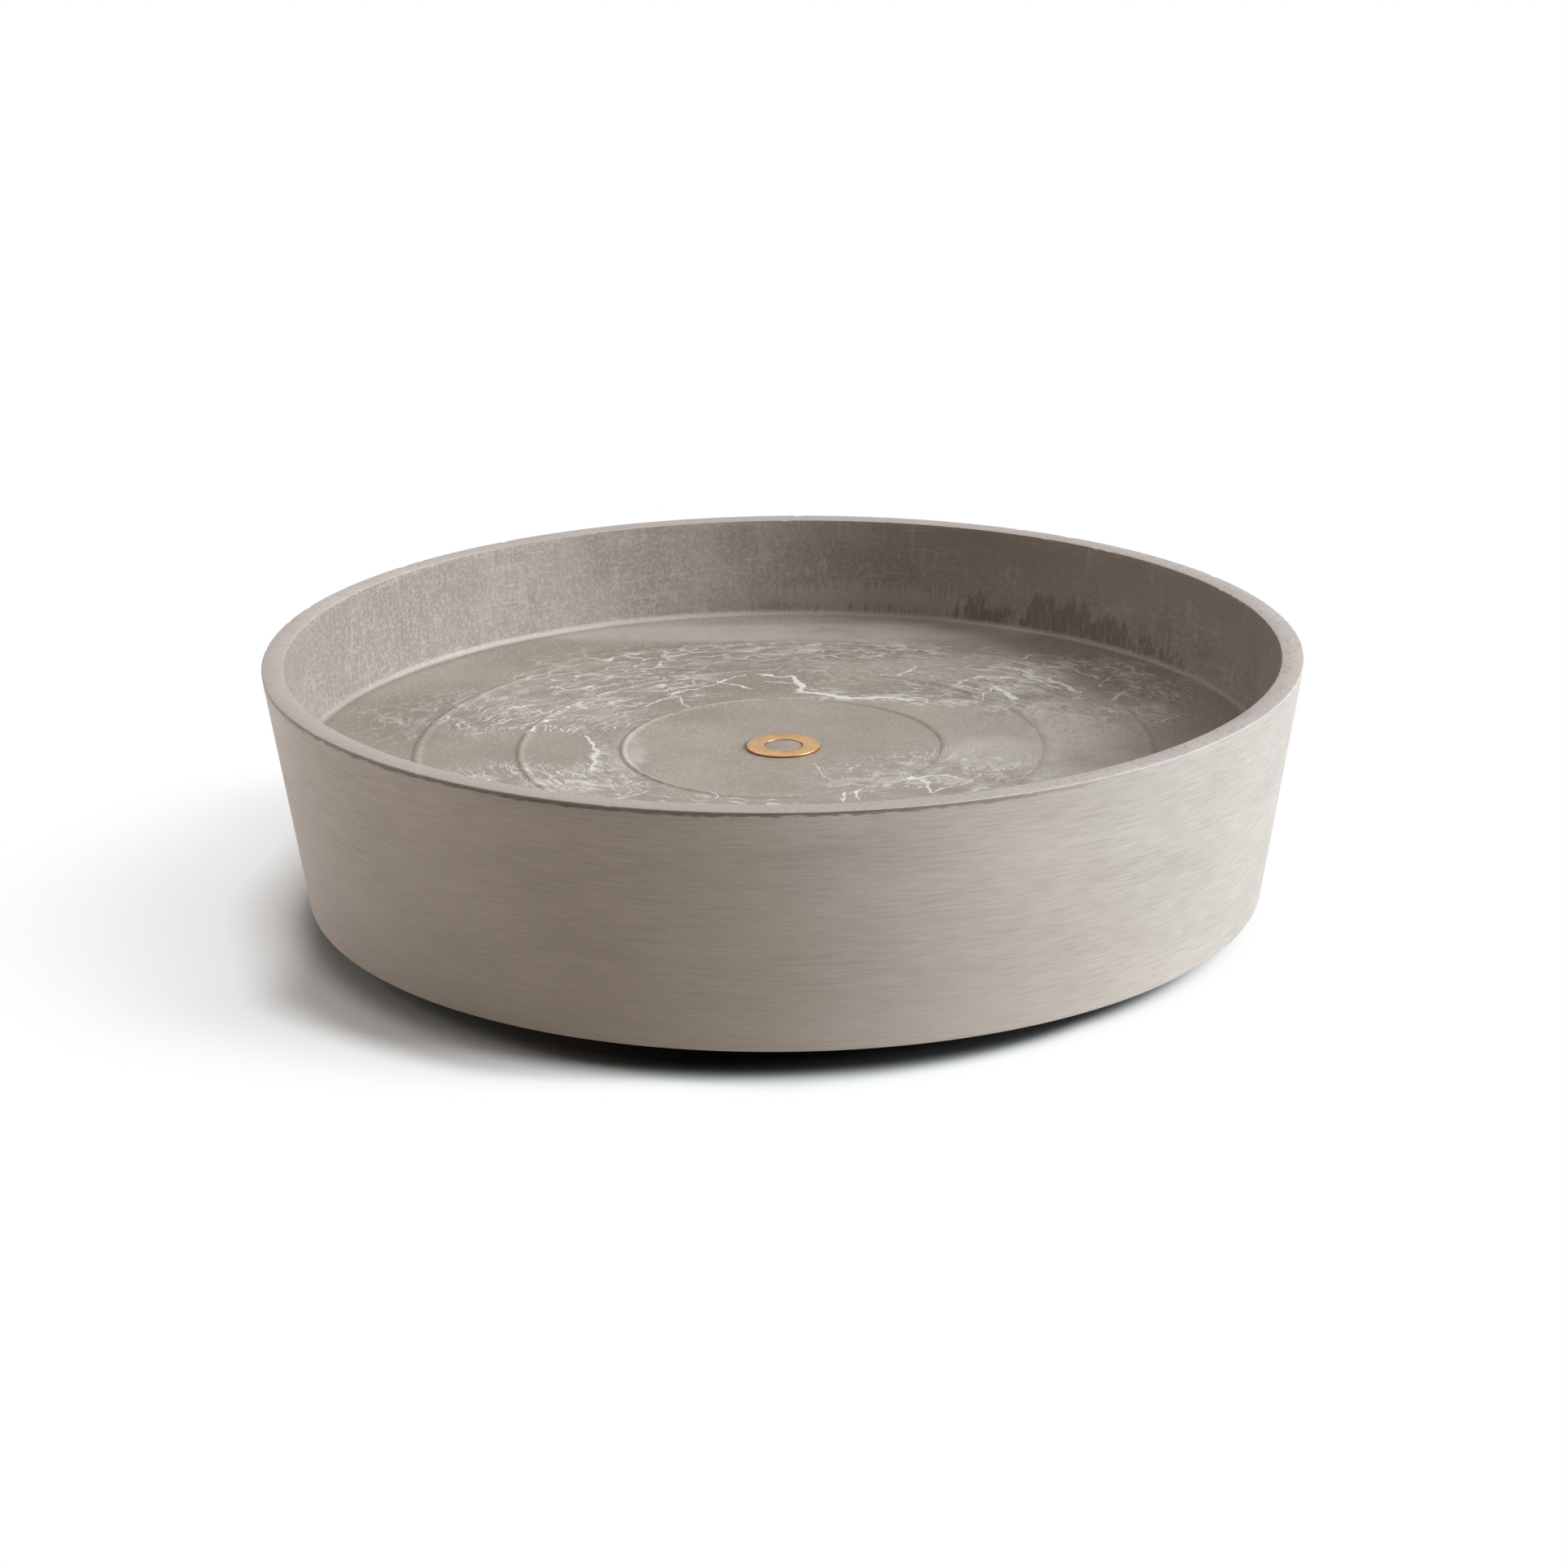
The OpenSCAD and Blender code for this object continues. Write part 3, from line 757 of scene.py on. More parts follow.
veined, tree = finish("veined_floor", 0.5)
flat = vector_calc(tree, "MULTIPLY", place_on(tree), (1, 1, 0))
wander = put(tree, "ShaderNodeTexNoise", {"Vector": flat, "Scale": 1 / wander_size, "Detail": 4.0})
push = vector_calc(tree, "SUBTRACT", wander.outputs["Color"], (0.5, 0.5, 0.5))
push = vector_calc(tree, "MULTIPLY", push, (wander_size, wander_size, 0))
place = vector_calc(tree, "ADD", flat, push)
cloud = grain(tree, 34, 3)
mottle = grain(tree, 5, 3, shift=6)
fine = grain(tree, (1.1, 2.2, 1), 2, shift=2)
speckle = grain(tree, (0.9, 1.8, 1), 2, shift=22)
drift = grain(tree, 30, 4, shift=12, roughness=0.6)
out = radius_on(tree)
oval = vector_calc(tree, "MULTIPLY", place, (flow_width, 1, 0))
ring_wise = vector_calc(tree, "NORMALIZE", oval)
ring_wise = vector_calc(tree, "SCALE", ring_wise, scale=flow_r)
outward = measure(tree, "LENGTH", oval)
upward = put(tree, "ShaderNodeCombineXYZ", {"Z": outward}).outputs["Vector"]
flow = vector_calc(tree, "ADD", ring_wise, upward)
waver = grain(tree, (15, 15, 9), 2, place=flow, shift=3)
near_fine = strands(outward, waver, 3.2 * mm, 0.15)
crackle = ridge(grain(tree, (13, 13, 5), 4, place=flow, shift=53, roughness=0.6), 0.035)
far_coarse = strands(outward, waver, 6 * mm, 0.16)
_, endways, _ = split(tree, ring_wise)
endways = rise(abs(endways), 0.4 * flow_r, 0.8 * flow_r)
near_fine = near_fine * (1.0 - endways)
ripple = calc("MAXIMUM", near_fine, far_coarse * endways)
cell = vector_calc(tree, "MULTIPLY", flow, [1 / (size * mm) for size in net_cell])
cells = put(tree, "ShaderNodeTexVoronoi", {"Vector": cell, "Scale": 1.0}, feature="DISTANCE_TO_EDGE")
net = rise(Reading(tree, cells.outputs["Distance"]), 0.11, 0.06)
broken = rise(grain(tree, (14, 14, 6), 2, place=flow, shift=31), 0.38, 0.46)
bright_here = grain(tree, (8, 8, 6), 2, place=flow, shift=41)
pit = rise(grain(tree, (5, 5, 2.4), 3, place=flow, shift=27), 0.52, 0.66)
island = patches(tree, place, smooth_islands)
shore = 1.0 - island
in_ripples = patches(tree, place, rippled) * shore
in_net = patches(tree, place, netted) * shore
patchy = rise(grain(tree, (14, 9, 9), 2, shift=15), 0.3, 0.52)
in_crackle = patches(tree, place, crackled) * shore
long_lines = calc("MAXIMUM", ripple * in_ripples, crackle * in_crackle)
lines = calc("MAXIMUM", long_lines, net * (in_net * 0.85))
lines = lines * (broken * patchy)
strong = rise(bright_here, 0.4, 0.62, 0.55) + 0.45
lines = lines * strong
crust = rise(grain(tree, (8, 8, 2.4), 4, place=flow, shift=47, roughness=0.65), 0.46, 0.56)
crust = crust * patches(tree, place, crusted)
swell = grain(tree, 4, 3, shift=18)
thickness = swell * 4.0 - 0.9
vein = rise(nearness(tree, place, veins) / thickness, 1.1, 0.55)
veil = rise(drift, 0.25, 0.55) * patches(tree, place, veiled) * shore
side_wise, back_wise, _ = split(tree, flat)
to_back = back_wise - side_wise * 0.7
crest = None
flank_shade = None
for bead_r, flank_shade_strength in zip(bead_rs, flank_shades):
    line = rise(abs(out - bead_r), 0.9 * mm, 0.3 * mm)
    line = line * rise(to_back, 0.75 * bead_r, 1.05 * bead_r)
    crest = line if crest is None else calc("MAXIMUM", crest, line)
    # Painted shade: the outer flank of each bead on the right, which faces the lamp, is painted darker.
    side = rise(abs(out - (bead_r + 0.9 * mm)), 1.3 * mm, 0.6 * mm)
    side = side * rise(side_wise, 0.45 * bead_r, 0.85 * bead_r, flank_shade_strength)
    flank_shade = side if flank_shade is None else calc("MAXIMUM", flank_shade, side)
crest = crest * rise(bright_here, 0.36, 0.5)
colour = layer(floor_dark, floor_tone, rise(cloud, 0.3, 0.7))
# Painted light: the right half of the floor is painted paler, lifting the shadow that the right wall casts on
# it.
colour = layer(colour, floor_lit_pale, rise(side_wise, 0.0, 0.07, 0.45))
# Painted shadow: the floor near the wall's foot on the right is painted darker, as the right wall shades it.
foot_shade = rise(out, 0.14, 0.175) * rise(side_wise, 0.08, 0.14, 0.42)
colour = layer(colour, pit_and_shade_dark, foot_shade)
colour = layer(colour, floor_dark, rise(mottle, 0.5, 0.72, 0.45))
colour = layer(colour, floor_dark, island * 0.5)
# A few patches of the floor are painted darker.
colour = layer(colour, pit_and_shade_dark, patches(tree, place, darker_patches) * 0.6)
colour = layer(colour, floor_veil, veil * 0.85)
colour = layer(colour, floor_veil, rise(fine, 0.5, 0.75, 0.4))
colour = layer(colour, pit_and_shade_dark, rise(speckle, 0.5, 0.75, 0.3))
grit = grain(tree, (3.2, 3.2, 1.5), 2, place=flow, shift=61)
in_grit = patches(tree, place, gritty)
colour = layer(colour, floor_veil, rise(grit, 0.54, 0.64, 0.55) * in_grit)
colour = layer(colour, pit_and_shade_dark, rise(grit, 0.46, 0.34, 0.35) * in_grit)
colour = layer(colour, pit_and_shade_dark, pit * in_net * 0.55)
colour = layer(colour, crack_white, crust * 0.65)
colour = layer(colour, crack_white, lines * 0.95)
colour = layer(colour, crack_white, crest * 0.35)
colour = layer(colour, pit_and_shade_dark, flank_shade)
colour = layer(colour, vein_white, vein)
# Painted shade: a darker ring on the floor just inside the wall's foot on the left, where the wall shades it.
foot_ring_shade = rise(out, foot_r - 7 * mm, foot_r - 2.5 * mm) * rise(side_wise, -0.02, -0.1, 0.4)
colour = layer(colour, pit_and_shade_dark, foot_ring_shade)
limed = rise(out, foot_r - 2 * mm, foot_r - 1 * mm) * rise(back_wise, 0.02, 0.15, 0.22)
colour = layer(colour, lime_white, limed)
rough = fine * 0.25 + lines * 0.8
coat(colour, rough, 0.2 * mm)

hidden, tree = finish("moulded_underside", 0.6)
cloud = grain(tree, 25, 3)
colour = layer(taupe_dark, taupe, rise(cloud, 0.3, 0.7))
coat(colour, cloud, 0.1 * mm)


def floor_face(co):
    return floor_z - 0.1 * mm < co.z < floor_z + 0.4 * well_fillet and co.xy.length > spigot_r


def well_face(co):
    return floor_z + 0.4 * well_fillet <= co.z < rim_z - edge_r and co.xy.length < well_r(co.z) + 1 * mm


def rim_face(co):
    return co.z >= rim_z - 0.5 * lip_h


def wall_face(co):
    return co.z < rim_z - 0.5 * lip_h and co.xy.length > wall_r(co.z) - 1.5 * mm


def dress(piece, *coatings):
    """Gives a piece its materials, and no other."""
    piece.data.materials.clear()
    for coating in coatings:
        piece.data.materials.append(coating)


def fit(piece, node, body):
    """Hides a CAD node, and hangs the piece built in its place on the body that carries it."""
    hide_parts(node)
    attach(piece, body)


dress(shell, hidden, brushed, trimmed, streaked, veined)
alone(shell)
bpy.ops.object.mode_set(mode="EDIT")
for index, test in enumerate((wall_face, rim_face, well_face, floor_face), start=1):
    choose(shell, "faces", test)
    shell.active_material_index = index
    bpy.ops.object.material_slot_assign()
bpy.ops.object.mode_set(mode="OBJECT")
fit(shell, "saucer_shell", "saucer")


# Drain ring
# A turned brass fitting: its flange lies on the floor, just proud of it, and its threaded spigot goes
# through to the nut below. The top is faced on the lathe and lightly brushed.
ring_low, ring_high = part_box("drain_ring")
flange_r = ring_high.x
drain_r = 7.5 * mm
outlet_r = 5.5 * mm
seat_z = ring_high.z - 3.8 * mm
thread_r = 9.7 * mm
thread_pitch = 1 * mm
brass_edge = 0.18 * mm
lathe_mark = 0.35 * mm


def thread(crest, root, low, high, pitch):
    """The zigzag of a thread seen from the side, from its high end down to its low end."""
    turns = int((high - low) / pitch)
    start = high - (high - low - turns * pitch) / 2
    points = []
    for k in range(turns):
        points.append((crest, start - (k + 0.1) * pitch))
        points.append((root, start - (k + 0.5) * pitch))
        points.append((crest, start - (k + 0.9) * pitch))
    return points


brass_outline = [
    (drain_r, seat_z),
    (drain_r, ring_high.z),
    (flange_r, ring_high.z),
    (flange_r, floor_z),
    (thread_r, floor_z),
    *thread(thread_r, thread_r - 0.5 * mm, ring_low.z + 0.3 * mm, under_z, thread_pitch),
    (thread_r, ring_low.z),
    (outlet_r, ring_low.z),
    (outlet_r, seat_z),
    (drain_r, seat_z),
]
ring = draw("brass_drain_ring", brass_outline)
soften(ring, brass_outline[1], brass_edge, 3)
soften(ring, brass_outline[2], brass_edge, 3)
turn(ring, 160)
brass, tree = finish("brushed_brass", 0.4, 0.5, 1.0)
feeds = {"W": radius_on(tree) * (1 / lathe_mark), "Scale": 1.0, "Detail": 2.0}
line = Reading(tree, put(tree, "ShaderNodeTexNoise", feeds, noise_dimensions="1D").outputs["Fac"])
tarnish = grain(tree, 6, 3)
speckle = grain(tree, 0.5, 2, shift=7)
colour = layer(srgb(193, 152, 104), srgb(206, 168, 120), rise(tarnish, 0.3, 0.7))
colour = layer(colour, srgb(214, 182, 140), rise(speckle, 0.5, 0.75, 0.5))
colour = layer(colour, srgb(170, 126, 76), rise(line, 0.55, 0.8, 0.3))
_, _, height = split(tree, place_on(tree))
# Painted shade: the side of the flange, standing just proud of the floor, is painted dark brown.
side = rise(height, ring_high.z - 0.15 * mm, ring_high.z - 0.4 * mm, 0.8)
side = side * rise(height, floor_z - 0.6 * mm, floor_z - 0.3 * mm)
colour = layer(colour, srgb(104, 70, 36), side)
coat(colour, line, 0.004 * mm, tarnish * 0.2 + 0.32)
dress(ring, brass)
fit(ring, "drain_ring", "saucer")


# Drain seal
# A flat black rubber washer, cut from sheet. The nut squeezes it against the underside of the floor, so that
# its edge bulges.
seal_low, seal_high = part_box("drain_seal")
seal_r = seal_high.x
seal_mid = (seal_low.z + seal_high.z) / 2
seal_squeeze = 0.5 * mm
seal_outline = [
    (spigot_r, seal_low.z),
    (seal_r - seal_squeeze, seal_low.z),
    (seal_r, seal_mid),
    (seal_r - seal_squeeze, seal_high.z),
    (spigot_r, seal_high.z),
    (spigot_r, seal_low.z),
]
seal = draw("drain_washer", seal_outline)
soften(seal, seal_outline[2], 0.8 * mm, 5)
turn(seal, 96)
seal_rubber, tree = finish("seal_rubber", 0.75, 0.3)
bloom = grain(tree, 4, 4)
pore = grain(tree, 0.4, 2, shift=3)
colour = layer(srgb(44, 43, 41), srgb(74, 72, 69), rise(bloom, 0.4, 0.75))
coat(colour, pore, 0.04 * mm, bloom * 0.3 + 0.55)
dress(seal, seal_rubber)
fit(seal, "drain_seal", "saucer")


# Drain nut
# The hexagonal brass back nut that clamps the fitting to the floor. It is turned from bar, so its corners
# are knocked off at both ends.
nut_low, nut_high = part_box("drain_nut")
nut_flats = nut_high.y - nut_low.y
sharp_crease = math.radians(35)


def hexagon(name, flats, low, high):
    """A hexagon bar with two corners on the X axis, its ends chamfered on the lathe."""
    corner = flats / math.sqrt(3)
    face = 0.98 * flats / 2
    slope = (corner - face) * math.tan(math.radians(30))
    bar = peg(name, (0, 0), corner, low, high, 6)
    bar.data.transform(Matrix.Rotation(math.radians(30), 4, "Z"))
    wide = 1.02 * corner
    lower = [(0, low), (face, low), (wide, low + slope)]
    upper = [(wide, high - slope), (face, high), (0, high)]
    merge(bar, turn(draw(name + "_barrel", lower + upper), 72), "INTERSECT")
    return bar


def bore(piece, radius, low, high, sides):
    """Drills a piece along the Z axis."""
    merge(piece, peg("drill", (0, 0), radius, low - bite, high + bite, sides), "DIFFERENCE")


def weld(piece):
    """Merges what meets, takes out the edges that lie flat in a face, and stays in edit mode."""
    alone(piece)
    bpy.ops.object.mode_set(mode="EDIT")
    bpy.ops.mesh.select_all(action="SELECT")
    bpy.ops.mesh.remove_doubles(threshold=weld_gap)
    bpy.ops.mesh.dissolve_limited(angle_limit=math.radians(1))


def break_edges(piece, width):
    """Takes the sharpness off every edge, and shades the piece smooth between its edges."""
    weld(piece)
    bpy.ops.object.mode_set(mode="OBJECT")
    blunt = piece.modifiers.new("blunt", "BEVEL")
    blunt.width = width
    blunt.segments = 2
    blunt.limit_method = "ANGLE"
    blunt.angle_limit = sharp_crease
    blunt.use_clamp_overlap = True
    bpy.ops.object.modifier_apply(modifier=blunt.name)
    bpy.ops.object.shade_smooth_by_angle(angle=sharp_crease)


drain_nut = hexagon("brass_back_nut", nut_flats, nut_low.z, nut_high.z)
bore(drain_nut, spigot_r, nut_low.z, nut_high.z, 96)
break_edges(drain_nut, 0.12 * mm)
dress(drain_nut, brass)
fit(drain_nut, "drain_nut", "saucer")


# Drain plug
# A turned plug of the same grey-brown resin. It sits loose in the fitting, flush with its top, with a stem
# that keeps it straight in the outlet.
plug_low, plug_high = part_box("drain_plug")
head_r = plug_high.x
stem_r = 5.45 * mm
head_foot_z = seat_z + 0.02 * mm
plug_edge = 0.25 * mm
plug_outline = [
    (0, plug_high.z),
    (head_r, plug_high.z),
    (head_r, head_foot_z),
    (stem_r, head_foot_z),
    (stem_r, plug_low.z),
    (0, plug_low.z),
]
plug = draw("drain_plug_turned", plug_outline)
soften(plug, plug_outline[1], plug_edge, 3)
soften(plug, plug_outline[4], 0.8 * mm, 3)
turn(plug, 120)
plug_resin, tree = finish("plug_resin", 0.6, 0.15)
cloud = grain(tree, 4, 3)
colour = layer(srgb(169, 153, 144), srgb(175, 160, 151), rise(cloud, 0.3, 0.7))
coat(colour, cloud, 0.03 * mm)
dress(plug, plug_resin)
fit(plug, "drain_plug", "plug")


# Caster plates
# Four square steel plates, stamped, drilled and zinc plated, with a rolled groove for the bearing balls.
# Each lies under a pad of the dish, square to the radius.
plate_low_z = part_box("caster_plate_1")[0].z
plate_w = 44 * mm
plate_corner_r = 5 * mm
kingpin_r = 3 * mm
ball_ring_r = 10 * mm
race_r = 2.08 * mm
ball_z = (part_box("bearing_balls_1")[0].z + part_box("bearing_balls_1")[1].z) / 2
seat_clear = 0.02 * mm
flake_size = 3.5 * mm


def race():
    """The ring groove that the balls run in."""
    bpy.ops.object.select_all(action="DESELECT")
    rings = {"major_radius": ball_ring_r, "minor_radius": race_r, "major_segments": 72, "minor_segments": 24}
    bpy.ops.mesh.primitive_torus_add(location=(0, 0, ball_z), **rings)
    bpy.ops.object.transform_apply()
    return bpy.context.object


def set_out(piece, name, headings):
    """Four copies of a piece that was modelled on the Z axis, set on the kingpins and numbered."""
    made = []
    for n, heading in zip(casters, headings):
        middle = kingpin_place(n)
        placed = Matrix.Translation((middle.x, middle.y, 0)) @ Matrix.Rotation(heading, 4, "Z")
        copy = duplicate(piece, placed)
        copy.name = copy.data.name = f"{name}_{n}"
        made.append((n, copy))
    bpy.data.objects.remove(piece)
    return made


plate = block("plate", (-plate_w / 2, -plate_w / 2, plate_low_z), (plate_w / 2, plate_w / 2, plate_top))
round_edges(plate, lambda co: abs(co.x) > 0.4 * plate_w and abs(co.y) > 0.4 * plate_w, plate_corner_r, 10)
bore(plate, kingpin_r + seat_clear, plate_low_z, plate_top, 48)
for place in screw_places:
    merge(plate, peg("drill", place, screw_hole_r, plate_low_z - bite, plate_top + bite, 32), "DIFFERENCE")
merge(plate, race(), "DIFFERENCE")
break_edges(plate, 0.25 * mm)

zinc, tree = finish("zinc_plate", 0.42, 0.5, 1.0)
flakes = put(tree, "ShaderNodeTexVoronoi", {"Vector": place_on(tree), "Scale": 1 / flake_size})
flake, _, _ = split(tree, flakes.outputs["Color"])
smut = grain(tree, 8, 4)
colour = layer(srgb(168, 171, 174), srgb(204, 206, 207), flake)
colour = layer(colour, srgb(140, 141, 141), rise(smut, 0.5, 0.8, 0.7))
coat(colour, smut, 0.02 * mm, flake * 0.16 + 0.32)
dress(plate, zinc)
for n, copy in set_out(plate, "stamped_plate", corners):
    fit(copy, f"caster_plate_{n}", "saucer")


# Caster screws
# Sixteen zinc-plated steel screws with pan heads and a cross recess. Four go through each plate into the
# pad of the dish above it.
screw_r = 2 * mm
screw_l = 10 * mm
screw_head_r = 4 * mm
screw_head_h = 2.2 * mm
recess_l = 4 * mm
recess_w = 0.9 * mm
recess_depth = 1.2 * mm
head_z = plate_low_z - screw_head_h
screw_outline = [
    (0, plate_low_z + screw_l),
    (0.25 * screw_r, plate_low_z + screw_l),
    *thread(screw_r, 0.78 * screw_r, plate_top, plate_low_z + screw_l - 0.6 * mm, 0.9 * mm),
    (screw_r, plate_low_z),
    (screw_head_r, plate_low_z),
    (screw_head_r, head_z),
    (0, head_z),
]
screw = draw("screw", screw_outline)
soften(screw, screw_outline[-3], 0.25 * mm, 2)
soften(screw, screw_outline[-2], 1.4 * mm, 5)
turn(screw, 40)
for long, wide in ((recess_l, recess_w), (recess_w, recess_l)):
    slot = block("recess", (-long / 2, -wide / 2, head_z - bite), (long / 2, wide / 2, head_z + recess_depth))
    merge(screw, slot, "DIFFERENCE")
alone(screw)
bpy.ops.object.shade_smooth_by_angle(angle=sharp_crease)
dress(screw, zinc)
spread = [duplicate(screw, Matrix.Translation((circle_r + x, y, 0))) for x, y in screw_places]
bpy.data.objects.remove(screw)
screws = copies(join(spread), corners)
screws.name = "pan_head_screws"
fit(screws, "caster_screws", "saucer")


# Kingpins
# Four bright steel rivets. Each is headed over above its plate and below the fork, so that the fork turns on
# it and can't drop.
pin_low_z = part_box("kingpin_1")[0].z
pin_high_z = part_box("kingpin_1")[1].z
pin_head_r = 5.3 * mm
pin_head_h = 1.6 * mm
pin_outline = [
    (0, pin_high_z),
    (pin_head_r, pin_high_z),
    (pin_head_r, plate_top),
    (kingpin_r, plate_top),
    (kingpin_r, pin_low_z + pin_head_h),
    (pin_head_r, pin_low_z + pin_head_h),
    (pin_head_r, pin_low_z),
    (0, pin_low_z),
]
pin = draw("pin", pin_outline)
soften(pin, pin_outline[1], 0.9 * mm, 4)
soften(pin, pin_outline[6], 0.9 * mm, 4)
turn(pin, 56)
bright, tree = finish("bright_steel", 0.28, 0.5, 1.0)
drawn = grain(tree, (0.6, 0.6, 4), 3)
oil = grain(tree, 7, 3, shift=5)
colour = layer(srgb(176, 178, 180), srgb(212, 213, 214), rise(drawn, 0.3, 0.7))
colour = layer(colour, srgb(150, 148, 144), rise(oil, 0.52, 0.8, 0.6))
coat(colour, drawn, 0.008 * mm, oil * 0.25 + 0.16)
dress(pin, bright)
for n, copy in set_out(pin, "kingpin_rivet", corners):
    fit(copy, f"kingpin_{n}", "saucer")


# Bearing balls
# Twelve hardened steel balls in each race, rolling loose in the grooves of plate and fork. They are true
# balls in the frame already, so they only get their finish.
for n in casters:
    dress(bpy.data.objects[f"bearing_balls_{n}"], bright)


# Forks
# Four forks, each pressed from steel strip: a round crown that rolls on the balls, and two cheeks bent down
# from it that narrow towards the eye of the axle. They are zinc plated, and all four trail to the left.
fork_low, fork_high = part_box("fork_1")
crown_z = 43.5 * mm
crown_top_z = fork_high.z
crown_r = 15 * mm
cheek_t = 2 * mm
cheek_out = (fork_high.y - fork_low.y) / 2
cheek_root = 20 * mm
eye_r = 7 * mm
wheel_low, wheel_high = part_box("wheel_tyre_1")
axle_place = (wheel_low + wheel_high) / 2
trail = (kingpin_place(1) - axle_place).xy.length
axle_z = axle_place.z
axle_r = 3 * mm
run_clear = 0.05 * mm
bend_r = 1.6 * mm


def touch(start, side):
    """The angle, seen from the eye, at which a straight edge from the crown meets the eye's round end."""
    offset = Vector((start[0] - trail, start[1] - axle_z))
    return math.atan2(offset.y, offset.x) + side * math.acos(eye_r / offset.length)


root_front = (-cheek_root / 2, crown_top_z)
root_back = (cheek_root / 2, crown_top_z)
eye_from = touch(root_front, 1)
eye_to = touch(root_back, -1) + math.tau
eye_steps = 28
eye_arc = [eye_from + (eye_to - eye_from) * k / eye_steps for k in range(eye_steps + 1)]
eye = [(trail + eye_r * math.cos(a), axle_z + eye_r * math.sin(a)) for a in eye_arc]
cheek_outline = [root_front, *eye, root_back]


def cheek(y):
    """One cheek, its outline drawn, filled and pulled out to its thickness."""
    made = draw("cheek", cheek_outline)
    bpy.ops.mesh.select_all(action="SELECT")
    bpy.ops.mesh.edge_face_add()
    bpy.ops.transform.translate(value=(0, y, 0))
    bpy.ops.mesh.extrude_region_move(TRANSFORM_OT_translate={"value": (0, cheek_t, 0)})
    bpy.ops.mesh.select_all(action="SELECT")
    bpy.ops.mesh.normals_make_consistent(inside=False)
    bpy.ops.object.mode_set(mode="OBJECT")
    return made


fork = peg("fork", (0, 0), crown_r, crown_z, crown_top_z, 96)
strip_low = (-crown_r, -cheek_out, crown_z - bite)
strip_high = (crown_r, cheek_out, crown_top_z + bite)
merge(fork, block("strip", strip_low, strip_high), "INTERSECT")
for y in (-cheek_out, cheek_out - cheek_t):
    merge(fork, cheek(y), "UNION")
weld(fork)
round_edges(fork, lambda co: co.z > crown_top_z - near and abs(co.y) > cheek_out - near, bend_r, 6)
bore(fork, kingpin_r + run_clear, crown_z, crown_top_z, 48)
merge(fork, race(), "DIFFERENCE")
axle_turn = Matrix.Translation((trail, 0, axle_z)) @ Matrix.Rotation(math.radians(-90), 4, "X")
drill = peg("drill", (0, 0), axle_r + seat_clear, -cheek_out - bite, cheek_out + bite, 48)
drill.data.transform(axle_turn)
merge(fork, drill, "DIFFERENCE")
break_edges(fork, 0.22 * mm)
dress(fork, zinc)
trailing = [math.pi] * len(casters)
for n, copy in set_out(fork, "pressed_fork", trailing):
    fit(copy, f"fork_{n}", f"swivel_{n}")


# Wheel hubs
# Four hubs moulded in black nylon: a sleeve that turns on the axle bolt, a web, and a rim that the tyre is
# stretched over.
hub_low, hub_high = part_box("wheel_hub_1")
sleeve_half = (hub_high.y - hub_low.y) / 2
hub_r = (hub_high.z - hub_low.z) / 2
sleeve_r = 6.5 * mm
web_half = 2.5 * mm
rim_half = 7 * mm
hub_rim_in = hub_r - 2.2 * mm
hub_bore = axle_r + run_clear
hub_outline = [
    (hub_bore, -sleeve_half),
    (sleeve_r, -sleeve_half),
    (sleeve_r, -web_half),
    (hub_rim_in, -web_half),
    (hub_rim_in, -rim_half),
    (hub_r, -rim_half),
    (hub_r, rim_half),
    (hub_rim_in, rim_half),
    (hub_rim_in, web_half),
    (sleeve_r, web_half),
    (sleeve_r, sleeve_half),
    (hub_bore, sleeve_half),
    (hub_bore, -sleeve_half),
]
hub = draw("hub", hub_outline)
for k in (2, 3, 8, 9):
    soften(hub, hub_outline[k], 1 * mm, 4)
for k in (1, 4, 5, 6, 7, 10):
    soften(hub, hub_outline[k], 0.3 * mm, 2)
turn(hub, 96)
hub.data.transform(axle_turn)
nylon, tree = finish("black_nylon", 0.48, 0.4)
flow = grain(tree, 5, 3)
spark = grain(tree, 0.5, 2, shift=4)
colour = layer(srgb(36, 36, 38), srgb(58, 58, 60), rise(flow, 0.35, 0.7))
coat(colour, spark, 0.02 * mm, flow * 0.25 + 0.36)
dress(hub, nylon)
for n, copy in set_out(hub, "nylon_hub", trailing):
    fit(copy, f"wheel_hub_{n}", f"wheel_{n}")


# Wheel tyres
# Four soft grey rubber tyres, moulded in halves, with rounded shoulders and the thin seam of the mould. They
# grip the hubs by their own stretch.
tyre_half = (wheel_high.y - wheel_low.y) / 2
tyre_r = (wheel_high.z - wheel_low.z) / 2
tyre_in = hub_r + seat_clear
shoulder_r = 3 * mm
seam_half = 0.3 * mm
seam_depth = 0.12 * mm
tyre_outline = [
    (tyre_in, -tyre_half),
    (tyre_r, -tyre_half),
    (tyre_r, -seam_half),
    (tyre_r - seam_depth, 0),
    (tyre_r, seam_half),
    (tyre_r, tyre_half),
    (tyre_in, tyre_half),
    (tyre_in, -tyre_half),
]
tyre = draw("tyre", tyre_outline)
soften(tyre, tyre_outline[1], shoulder_r, 8)
soften(tyre, tyre_outline[5], shoulder_r, 8)
turn(tyre, 128)
tyre.data.transform(axle_turn)
rubber, tree = finish("grey_rubber", 0.7, 0.3)
scuff = grain(tree, 3, 4)
dust = grain(tree, 0.7, 2, shift=6)
colour = layer(srgb(104, 104, 105), srgb(128, 128, 128), rise(scuff, 0.3, 0.7))
colour = layer(colour, srgb(152, 150, 146), rise(dust, 0.58, 0.8, 0.5))
coat(colour, scuff, 0.05 * mm, scuff * 0.3 + 0.55)
dress(tyre, rubber)
for n, copy in set_out(tyre, "rubber_tyre", trailing):
    fit(copy, f"wheel_tyre_{n}", f"wheel_{n}")


